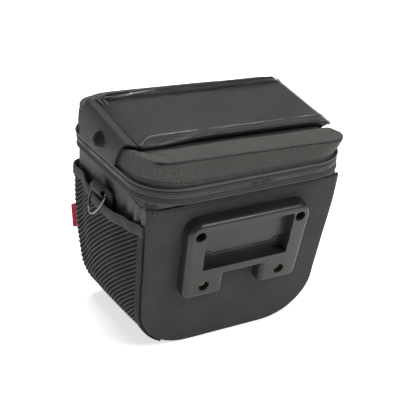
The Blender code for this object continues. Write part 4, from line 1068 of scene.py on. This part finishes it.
def makeFilm():
    halfL, halfW, wallW = flap["pocketLength"] / 2, flap["pocketWidth"] / 2, flap["pocketWall"]
    brim = flap["halfDepth"] - halfW - wallW - cloth["gap"]
    turn = 1.2 * mm      # how far in from the pocket's edge the film still rises
    steps = [-wallW - brim] + [-wallW + (wallW + turn) * i / 8 for i in range(9)]
    ys = [-halfW + step for step in steps]
    ys += [-halfW + turn + (halfW - turn) * 2 * i / 44 for i in range(1, 44)]
    ys += [-y for y in reversed(ys[:10])]
    xs = [-halfL + step for step in steps]
    xs += [-halfL + turn + (flapRight + halfL - turn) * i / 96 for i in range(1, 97)]

    def filmPoint(x, y, over=0.0):
        up = min(smooth((x + halfL + wallW) / (9 * mm)), smooth((halfW + wallW - abs(y)) / wallW))
        low = flapFloor + rimRise(x, y) + cloth["gap"] + flap["film"]
        top = -flap["farDrop"] * smooth((y - halfW + 10 * mm) / (10 * mm))
        top -= flap["endDrop"] * smooth((x - flapHalf) / flap["overhang"])
        top += (flap["filmWave"] * grain((x, y, 0), 26 * mm, 5.0) - flap["filmSag"]) * smooth((up - 0.9) * 10)
        return flapFrame @ Vector((x, y, low + up * (max(low, top) - low) + over))

    rows = [[filmPoint(x, y) for y in ys] for x in xs]
    made = Builder()
    made.wall(rows, offsetRows(rows, flap["film"] * 0.6))
    made.make("clearFilm", "film", "clear_film", "clear_window", sharp=60)
    # coated border along the far side
    border = [[filmPoint(x, y, 0.1 * mm) for y in ys if y > halfW - 1.5 * mm] for x in xs]
    trim = Builder()
    trim.wall(offsetRows(border, -0.35 * mm), offsetRows(border, -0.05 * mm))
    trim.make("filmBorderFar", "coated", "coated_cloth", sharp=50)
    # pale lines on the welded edges, painted highlights of the clear film: all along the near edge, and two
    # short ones at the far left corner
    lines = [([(x, -halfW + 0.3 * mm) for x in xs if x > -halfL - wallW], 0.36 * mm)]
    for x, start, length in ((-0.6 * mm, 0.6 * mm, 8 * mm), (1.4 * mm, -2 * mm, 11 * mm)):
        lines.append(([(-halfL + x, halfW + start - length * i / 8) for i in range(9)], 0.34 * mm))
    highlightLines = Builder()
    up = flapSpin @ Vector((0, 0, 1))
    for spots, radius in lines:
        path = [filmPoint(x, y, 0.1 * mm) for x, y in spots]
        highlightLines.tube(path, radius, 6, normals=[up] * len(path), flat=0.7)
    highlightLines.make("filmEdgeHighlights", "weld", "clear_film")


snap = {
    "radius": 6.25 * mm, "thick": 2.6 * mm, "across": -0.1, "down": 0.75, "sunk": 1.1 * mm,
    # turned profile: share of the radius, share of the thickness
    "profile": ((0.8, -1.0), (0.84, 0.0), (0.97, 0.1), (1.0, 0.28), (0.985, 0.46), (0.93, 0.6), (0.86, 0.66),
                (0.8, 0.64), (0.76, 0.7), (0.6, 0.86), (0.4, 0.95), (0.2, 0.99), (0.05, 1.0)),
}


def makeSnap(name, side, node):
    radius, thick, across, down = snap["radius"], snap["thick"], snap["across"], snap["down"]
    along = tabPoint(side, across, down + 0.13) - tabPoint(side, across, down - 0.13)
    sideways = tabPoint(side, across + 0.15, down) - tabPoint(side, across - 0.15, down)
    normal = (along.cross(sideways).normalized() * side + Vector((0, -0.3, 0.55))).normalized()
    turn = normal.to_track_quat("Z", "Y").to_matrix()
    seat = tabPoint(side, across, down) + normal * snap["sunk"]
    made = Builder()
    made.solid([[seat + turn @ Vector((radius * width * c, radius * width * s, up * thick))
                 for c, s in circle(40)] for width, up in snap["profile"]])
    made.make(name, "snap", "snap", node, sharp=70)


makeFlap()
makeFilm()
makeSnap("snapCapLeft", -1, "snap_left")
makeSnap("snapCapRight", 1, "snap_right")
print("flap and clear pocket made")


# net pockets
pocket = {
    "bulge": 6.2 * mm, "cornerBulge": 2.2 * mm, "edge": 0.6 * mm, "net": 1.3 * mm,
    "bindingHeight": 9.4 * mm, "bindingThick": 2.2 * mm, "top": 119 * mm, "sag": 10.5 * mm, "foot": 4.5 * mm,
    "ribPitch": 3.2 * mm, "slant": math.radians(37), "rib": 0.8 * mm,
    "strandPitch": 1.8 * mm, "strand": 0.34 * mm,
    "bindingGroove": (0.45 * mm, 1.7 * mm, 0.5 * mm),      # depth, place down from the mouth, width
    "bindingStitch": 1.5 * mm,                             # stitch row, up from the binding's lower edge
    "welts": (0.05, 0.004), "welt": 0.45 * mm,             # places along the side, radius
    "ladder": 0.026, "ladderHalf": 0.01,                   # place along the side, half the width
    "ladderPitch": 2.7 * mm, "ladderHole": (1.4 * mm, 0.75 * mm), "ladderEnd": 1.5 * mm,
    # mouth line: place along the side, sag
    "mouth": ((-0.25, 0.4), (0.0, 0.57), (0.12, 0.73), (0.28, 0.8), (0.45, 0.92), (0.6, 0.77), (0.75, 0.45),
              (0.9, 0.3), (1.0, 0.35), (1.25, 0.6)),
}


def mouthHeight(station):
    kind, value, _ = station
    along = {"side": value, "backCorner": -0.25 * (90 - value) / 90}.get(kind, 1 + value / 360)
    return pocket["top"] - pocket["sag"] * curveLookup(pocket["mouth"], along)


def pocketBulge(station, height):
    kind, value, _ = station
    up = smooth(min(1.0, height / mouthHeight(station)) / 0.85)
    corner = pocket["cornerBulge"] / pocket["bulge"]
    if kind == "side":
        along = max(smooth(value / 0.4) * smooth((1 - value) / 0.3), corner * smooth((value - 0.6) / 0.4))
    elif kind == "frontCorner":
        along = corner * smooth((75 - value) / 40)
    else:
        along = 0.0
    return pocket["edge"] + pocket["bulge"] * along * up


def netPoint(station, height, outward):
    return wallPoint(height, station, pocketBulge(station, height) + outward)


def makePocket(word, side):
    path = [("backCorner", 75 + 2.5 * i, side) for i in range(6)]
    path += [("side", i / 70, side) for i in range(70)]
    path += [("frontCorner", 75 * i / 14, side) for i in range(15)]
    foot, half, face = pocket["foot"], pocket["net"] / 2, pocket["net"] + 0.3 * mm

    def topOf(station):
        return mouthHeight(station) - pocket["bindingHeight"] * 0.6

    # slanting ribs: they rise towards the back of the bag
    run = lengthsOf([netPoint(s, 60 * mm, half) for s in path])
    climb = math.tan(pocket["slant"])
    step = pocket["ribPitch"] / math.cos(pocket["slant"])
    tops = list(zip(run, [topOf(s) for s in path]))
    count = int((max(top for _, top in tops) - foot + run[-1] * climb) / step)

    def netAt(base, at, outward):
        # point at a distance along the path, on the rib with this base height
        j, part = spotOn(run, at)
        height = base - at * climb
        return netPoint(path[j], height, outward).lerp(netPoint(path[j + 1], height, outward), part)

    made = Builder()
    for i in range(count):
        base = foot + (i + 0.5) * step
        places = [at for at in (run[-1] * k / 92 for k in range(93))
                  if foot <= base - at * climb <= lookup(tops, at)]
        if len(places) < 2:
            continue
        line = [netAt(base, at, half + 0.2 * mm) for at in places]
        normals = [(netAt(base, at, half + 2 * mm) - p).normalized() for at, p in zip(places, line)]
        made.tube(line, pocket["rib"], 6, normals=normals, flat=0.7)
        # short strands up to the next rib, leaning the other way on every second one
        odd = i % 2
        lean = pocket["strandPitch"] * (0.4 if odd else -0.4)
        for n in range(int((places[-1] - places[0]) / pocket["strandPitch"])):
            at = places[0] + (n + (0.75 if odd else 0.25)) * pocket["strandPitch"]
            if base + step - (at + lean) * climb > lookup(tops, at + lean) or at + lean < 0:
                continue
            low = netAt(base, at, half - 0.1 * mm)
            high = netAt(base + step, min(run[-1], at + lean), half - 0.1 * mm)
            normal = (netAt(base, at, half + 2 * mm) - low).normalized()
            middle = low.lerp(high, 0.5) - normal * 0.1 * mm
            made.tube([low, middle, high], pocket["strand"], 4, normals=[normal] * 3, flat=0.6)
    made.make("net" + word, "net", "net", "mesh_pocket_" + word.lower())

    def heightsAt(station):
        return [foot - 0.3 * mm + (topOf(station) + 1 * mm - foot) * share(i, 46) for i in range(46)]

    # the net's knitted ground behind the ribs, painted nearly black for the shade under the net, and flat
    # tapes on its upright edges
    backEdge = [("backCorner", turn, side) for turn in (76, 83)]
    backEdge += [("side", 0.0125 * i, side) for i in range(5)]
    frontEdge = [("frontCorner", turn, side) for turn in (60, 64, 68, 72, 75)]
    tapeLow, tapeHigh = 0.35 * mm, face - 0.05 * mm
    for name, stations, low, high, key in (("netGroundShade", path, 0.05 * mm, 0.3 * mm, "ground"),
                                           ("netBackTape", backEdge, tapeLow, tapeHigh, "netTape"),
                                           ("netFrontTape", frontEdge, tapeLow, tapeHigh, "netTape")):
        tape = Builder()
        tape.wall(*[[[netPoint(s, h, out) for h in heightsAt(s)] for s in stations] for out in (high, low)])
        tape.make(name + word, key, "net", sharp=50)

    def upright(value, outward):
        station = ("side", value, side)
        return seam(lambda h, out: netPoint(station, h, out), heightsAt(station), outward, outward + 2 * mm)

    welts, thread, holeShade = Builder(), Builder(), Builder()
    for value in pocket["welts"]:
        track = upright(value, face)
        welts.tube([p for p, _ in track], pocket["welt"], 6, normals=[n for _, n in track], flat=0.8)
    welts.make("netWelts" + word, "binding", "net")
    # a ladder of thread with near-black marks between its rungs, painted shade of the open holes
    track = upright(pocket["ladder"], face + 0.04 * mm)
    run = lengthsOf([p for p, _ in track])
    long, wide = pocket["ladderHole"]
    at = pocket["ladderEnd"]
    while at < run[-1] - pocket["ladderEnd"]:
        ends = []
        for spot in (at, at + long):
            j, part = spotOn(run, spot)
            ends.append(track[j][0].lerp(track[j + 1][0], part))
        holeShade.tube(ends, wide, 8, normals=[track[j][1]] * 2, flat=0.3)
        at += pocket["ladderPitch"]
    for value in (pocket["ladder"] - pocket["ladderHalf"], pocket["ladder"] + pocket["ladderHalf"]):
        stitches(thread, upright(value, face), "ladder")
    thread.make("netStitches" + word, "thread", "binding")
    holeShade.make("netStitchHoleShade" + word, "hole", "binding")
    makePocketEdge(word, path)


def makePocketEdge(word, path):
    # folded binding: a closed rounded profile carried along the mouth
    tall, thick = pocket["bindingHeight"], pocket["bindingThick"]
    deep, down, wide = pocket["bindingGroove"]
    rows = []
    for c, s in circle(44):
        out, up = thick / 2 * (1 + power(c, 0.7)), tall / 2 * (power(s, 0.75) - 1)
        if out > thick * 0.6:
            out -= deep * hill(up, -down, wide)
        rows.append([netPoint(station, mouthHeight(station) + up, out + 0.05 * mm) for station in path])
    made = Builder()
    made.sweep(rows)
    made.make("pocketEdge" + word, "binding", "binding", "pocket_binding_" + word.lower(), sharp=60)
    thread = Builder()
    row = pocket["bindingStitch"] - tall
    track = seam(lambda s, out: netPoint(s, mouthHeight(s) + row, out), path, thick * 0.94, thick + 2 * mm)
    stitches(thread, track, "pocketEdge")
    thread.make("pocketEdgeStitches" + word, "thread", "binding")


makePocket("Left", -1)
makePocket("Right", 1)
print("net pockets made")


# rings on web loops
ring = {
    "outreach": 7.5 * mm, "height": 120 * mm, "forward": 0.3 * mm,      # place of the bar on the bag's side
    "width": 22.4 * mm, "drop": 17.7 * mm, "bend": 2.4 * mm, "lean": math.radians(25.7),
    "wire": 1.2 * mm,       # radius that the web's loop leaves room for
    "drawn": 0.84 * mm,     # radius of the wire itself
    "web": 18 * mm, "webThick": 1.5 * mm, "bore": 2.7 * mm, "tail": 17 * mm,
}


def ringSeat(side):
    section = bodySection(ring["height"])
    return Vector((side * (section["halfBack"] + ring["outreach"]), ring["forward"], ring["height"]))


def makeRing(word, side):
    half, bend = ring["width"] / 2, ring["bend"]
    # half an ellipse, then a rounded corner, the straight bar and the other corner
    arc = [math.radians(a) for a in range(14, 167, 4)]
    path = [(half * math.cos(t), -ring["drop"] * math.sin(t)) for t in arc]
    for x, first in ((-half + bend, 180), (half - bend, 90)):
        for k in range(7):
            turn = math.radians(first - 90 * k / 6)
            path.append((x + bend * math.cos(turn), bend * 0.9 * (math.sin(turn) - 1)))
    seat = ringSeat(side)
    spin = Matrix.Rotation(-side * ring["lean"], 3, "Y")
    made = Builder()
    made.tube([seat + spin @ Vector((0.0, y, z)) for y, z in path], ring["drawn"], 14, closed=True,
              normals=[spin @ Vector((1.0, 0.0, 0.0))] * len(path))
    made.make("ring" + word, "steel", "ring_steel", "d_ring_" + word.lower(), rider="ring_" + word.lower())


def makeWeb(word, side):
    seat = ringSeat(side)
    wallGap = abs(seat.x) - bodySection(ring["height"])["halfBack"] - 2 * cloth["gap"]
    bore, thick = ring["bore"], ring["webThick"]
    lift = bore - ring["wire"] - cloth["gap"]
    outer, inner = [], []
    for angle in range(-100, 181, 8):
        c, s = math.cos(math.radians(angle)), math.sin(math.radians(angle))
        outer.append(Vector((c * (bore + thick), 0, s * (bore + thick) + lift)))
        inner.append(Vector((c * bore, 0, s * bore + lift)))
    outer.append(Vector((-wallGap, 0, lift - bore * 0.6)))
    inner.append(Vector((-wallGap + thick, 0, lift - bore * 0.9)))
    for k in range(1, 9):
        z = lift - bore * 0.75 + (bore * 0.75 - ring["tail"]) * k / 8
        outer.append(Vector((-wallGap + 0.15 * mm, 0, z)))
        inner.append(Vector((-wallGap + thick + 0.15 * mm, 0, z)))
    half = ring["web"] / 2
    places = [-1.0, -0.96, -0.88] + [-0.8 + 1.6 * i / 16 for i in range(17)] + [0.88, 0.96, 1.0]

    def across(p, edge):
        # one row over the web's width, a little thinner at both edges
        row = []
        for s in places:
            q = p - p.normalized() * 0.25 * mm * (1 - min(1.0, (1 - abs(s)) / 0.12)) * edge
            row.append(Vector((seat.x + side * q.x, seat.y + s * half, seat.z + q.z)))
        return row

    made = Builder()
    made.wall([across(p, 1) for p in outer], [across(p, 0) for p in inner])
    made.make("webLoop" + word, "webbing", "webbing", "web_loop_" + word.lower(), sharp=50)


for word, side in (("Left", -1), ("Right", 1)):
    makeRing(word, side)
    makeWeb(word, side)
print("rings made")


# red side tag, a folded strip of cloth
tag = {"tall": 19 * mm, "long": 3.6 * mm, "turn": math.radians(15), "thick": 1.2 * mm, "base": 58 * mm}


def makeTag():
    station = ("frontCorner", 45, -1)
    reach = Vector((-math.cos(tag["turn"]), math.sin(tag["turn"]), 0.0)) * tag["long"]
    across = Vector((0.0, tag["thick"], 0.0))
    rows = []
    for i in range(16):
        height = tag["base"] + tag["tall"] * share(i, 16)
        seat = wallPoint(height, station, pocketBulge(station, height) + pocket["net"] + 2 * cloth["gap"])
        # two flat sides joined by a rounded fold
        rows.append([seat + reach * (0.5 - 0.5 * power(c, 0.35)) + across * (0.5 + 0.5 * power(s, 0.5))
                     for c, s in circle(24)])
    made = Builder()
    made.solid(rows)
    made.make("tagStrip", "tag", "tag_cloth", "side_tag", sharp=60)


makeTag()


# moulded plate, with its recess, ledge and four holes
plate = {
    "thick": 10.5 * mm, "halfWidth": 49.5 * mm, "top": 23.2 * mm, "bottom": 91 * mm, "corner": 10.5 * mm,
    "rounding": 3.2 * mm, "legTaper": 2.5 * mm, "footBevel": 4 * mm, "footDraft": 1 * mm,
    "notchHalf": 16.5 * mm, "notchTop": 73.5 * mm, "notchDraft": 1.2 * mm,
    # downwards from the zip line, along the leaning back
    "recess": {"half": 34.5 * mm, "top": 30 * mm, "bottom": 65.5 * mm, "deep": 7.2 * mm, "draft": 0.6 * mm},
    "ledge": {"tall": 7.5 * mm, "deep": 1.5 * mm, "step": 8.5 * mm, "rise": 3 * mm},
    "topHoles": {"apart": 80.4 * mm, "down": 33.3 * mm, "deep": 8.5 * mm},
    "lowHoles": {"apart": 62.6 * mm, "down": 80.7 * mm, "deep": 6 * mm},
    "hole": 4.1 * mm,
}
lean = body["backLean"]
plateOff = Vector((0.0, -math.cos(lean), -math.sin(lean)))
plateUp = Vector((0.0, -math.sin(lean), math.cos(lean)))
plateTurn = Matrix((Vector((1, 0, 0)), plateUp, plateOff)).transposed().to_4x4()
plateSeat = Vector((0.0, body["backInset"] - centreY, zipLine["back"])) + plateOff * cloth["gap"]
plateFrame = Matrix.Translation(plateSeat) @ plateTurn


def roundedOutline(corners, steps=7):
    # polygon of (x, y, radius) with its corners turned into arcs
    points = []
    for i, (x, y, r) in enumerate(corners):
        here = Vector((x, y))
        before = (Vector(corners[i - 1][:2]) - here).normalized()
        after = (Vector(corners[(i + 1) % len(corners)][:2]) - here).normalized()
        half = before.angle(after) / 2
        r = max(r, 0.05 * mm)
        centre = here + (before + after).normalized() * r / math.sin(half)
        a, b = [here + way * r / math.tan(half) - centre for way in (before, after)]
        points += [centre + a.lerp(b, k / steps).normalized() * r for k in range(steps + 1)]
    return points


def plateOutline(inset):
    half, top = plate["halfWidth"] - inset, -plate["top"] - inset
    bottom, notch = -plate["bottom"] + inset, plate["notchHalf"] + inset
    notchTop = -plate["notchTop"] + inset
    outer = half - plate["legTaper"]
    right = [(half, top, plate["corner"] - inset), (outer, bottom, plate["footBevel"] + 1 * mm - inset * 0.8),
             (notch - plate["footDraft"], bottom, max(0.3 * mm, 1.8 * mm - inset * 0.5)),
             (notch - plate["notchDraft"], notchTop, 0.8 * mm)]
    left = [(-x, y, r) for x, y, r in reversed(right)]
    return roundedOutline(right + left)


def cutterFrom(rows, name):
    data = bmesh.new()
    low, high = [[data.verts.new(p) for p in row] for row in rows]
    for i in range(len(low)):
        j = (i + 1) % len(low)
        data.faces.new((low[i], low[j], high[j], high[i]))
    data.faces.new(low)
    data.faces.new(high)
    bmesh.ops.recalc_face_normals(data, faces=data.faces)
    mesh = bpy.data.meshes.new(name)
    data.to_mesh(mesh)
    data.free()
    thing = intoScene(name, mesh)
    thing.matrix_world = plateFrame
    return thing


def boxRows(xLow, xHigh, yLow, yHigh, zLow, zHigh, draft=0.0, r=0.8 * mm):
    rows = []
    for z, grow in ((zLow, 0.0), (zHigh, draft)):
        corners = [(xLow - grow, yLow - grow, r), (xHigh + grow, yLow - grow, r),
                   (xHigh + grow, yHigh + grow, r), (xLow - grow, yHigh + grow, r)]
        rows.append([Vector((p.x, p.y, z)) for p in roundedOutline(corners, 5)])
    return rows


def holeRows(x, y, zLow, zHigh):
    r = plate["hole"]
    return [[Vector((x + r * c, y + r * s, z)) for c, s in circle(40)] for z in (zLow, zHigh)]


def makePlate():
    recess, ledge, face = plate["recess"], plate["ledge"], plate["thick"]
    # flat side, then the rounding up to the outer face
    levels = [(0.0, 0.0), (0.3, 0.0)]
    for angle in range(0, 91, 10):
        levels.append((0.55 + 0.45 * math.sin(math.radians(angle)), 1 - math.cos(math.radians(angle))))
    made = Builder()
    made.solid([[Vector((p.x, p.y, up * face)) for p in plateOutline(inset * plate["rounding"])]
                for up, inset in levels])
    piece = made.make("adapterPlate", "plastic", "moulded_plastic", "adapter_plate", sharp=35)
    piece.matrix_world = plateFrame

    above, floor, half = face + 2 * mm, face - recess["deep"], recess["half"]
    shelf, low, over = -recess["bottom"] + ledge["tall"], floor - ledge["deep"], 0.5 * mm
    inner, raised = half - ledge["step"], shelf + ledge["rise"]
    cuts = [boxRows(-half, half, shelf, -recess["top"], floor, above, recess["draft"], 1.2 * mm)]
    for left, right, top in ((-inner, inner, shelf + over), (-half, -inner + over, raised),
                             (inner - over, half, raised)):
        cuts.append(boxRows(left, right, -recess["bottom"], top, low, above))
    for side in (-1, 1):
        for hole in (plate["topHoles"], plate["lowHoles"]):
            cuts.append(holeRows(side * hole["apart"] / 2, -hole["down"], face - hole["deep"], above))
    cutters = []
    for i, shape in enumerate(cuts):
        cutters.append(cutterFrom(shape, "cutter%d" % i))
        carve = piece.modifiers.new("carve%d" % i, "BOOLEAN")
        carve.operation = "DIFFERENCE"
        carve.solver = "EXACT"
        carve.object = cutters[-1]
    seen = piece.evaluated_get(bpy.context.evaluated_depsgraph_get())
    carved = bpy.data.meshes.new_from_object(seen)
    piece.modifiers.clear()
    piece.data = carved
    for cutter in cutters:
        bpy.data.objects.remove(cutter, do_unlink=True)
    soften(piece, 0.4 * mm, 3, 48).harden_normals = True

    # fine raised line along the ledge, stepped at both ends
    bend = 0.6 * mm
    left = [(-half + 0.8 * mm, raised), (-inner - bend, raised), (-inner, raised - bend),
            (-inner, shelf + 0.9 * mm), (-inner + bend, shelf + 0.4 * mm)]
    path = left + [(-x, y) for x, y in reversed(left)]
    line = Builder()
    line.tube([plateFrame @ Vector((x, y, floor + 0.3 * mm)) for x, y in path], 0.6 * mm, 8,
              normals=[plateOff] * len(path))
    line.make("ledgeLine", "plastic", "moulded_plastic")


makePlate()
for name in ("adapter_screw_left", "adapter_screw_right"):
    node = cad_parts[name]
    node.data.materials.clear()
    node.data.materials.append(finish["brass"])
    soften(node, 0.2 * mm, 2, 40)
print("tag and plate made")


# studio: floor, camera and soft lights
studio = {
    "yaw": math.radians(28.16), "pitch": math.radians(23.51), "tilt": math.radians(0.5),
    "position": (-0.3442, -0.6499, 0.4094), "focal": 1050 / 416 * 36,
    # name: place, aim, size, watts
    "lamps": {
        "keyLamp": ((0.7, -1.2, 1.3), (0, 0, 0.1), 0.7, 17),
        "topLamp": ((0.1, 0.2, 1.5), (0, 0, 0.1), 0.9, 23),
        "leftLamp": ((-1.5, -0.3, 0.7), (0, 0, 0.1), 0.8, 1),
    },
    "world": 0.15,
    "floorGlow": 0.66, "floorHalf": 4.0,
}


def makeStudio():
    floorMesh = bpy.data.meshes.new("floor")
    size = studio["floorHalf"]
    corners = [(-size, -size, 0), (size, -size, 0), (size, size, 0), (-size, size, 0)]
    floorMesh.from_pydata(corners, [], [(0, 1, 2, 3)])
    material, _, shader = surface("floorPaper", {"colour": (0.93, 0.93, 0.93), "rough": 0.8})
    shader.inputs["Emission Color"].default_value = (1, 1, 1, 1)
    shader.inputs["Emission Strength"].default_value = studio["floorGlow"]
    floorMesh.materials.append(material)
    floor = intoScene("floor", floorMesh)
    floor.location.z = -0.4 * mm

    flat = Vector((math.sin(studio["yaw"]), math.cos(studio["yaw"]), 0)) * math.cos(studio["pitch"])
    forward = flat - Vector((0, 0, math.sin(studio["pitch"])))
    flatRight = forward.cross(Vector((0, 0, 1))).normalized()
    flatUp = flatRight.cross(forward)
    right = flatRight * math.cos(studio["tilt"]) + flatUp * math.sin(studio["tilt"])
    turn = Matrix((right, right.cross(forward), -forward)).transposed().to_4x4()
    lens = bpy.data.cameras.new("camera")
    lens.sensor_width = 36
    lens.lens = studio["focal"]
    lens.clip_end = 20
    camera = intoScene("camera", lens)
    camera.matrix_world = Matrix.Translation(studio["position"]) @ turn
    bpy.context.scene.camera = camera

    for name, (spot, aim, size, watts) in studio["lamps"].items():
        light = bpy.data.lights.new(name, "AREA")
        light.size = size
        light.energy = watts
        lamp = intoScene(name, light)
        lamp.location = spot
        lamp.rotation_euler = (Vector(aim) - Vector(spot)).to_track_quat("-Z", "Y").to_euler()

    world = bpy.data.worlds.new("studioWorld")
    world.use_nodes = True
    background = world.node_tree.nodes["Background"]
    background.inputs[0].default_value = (1, 1, 1, 1)
    background.inputs[1].default_value = studio["world"]
    bpy.context.scene.world = world
    bpy.context.scene.view_settings.view_transform = "Standard"


makeStudio()
print("studio made")
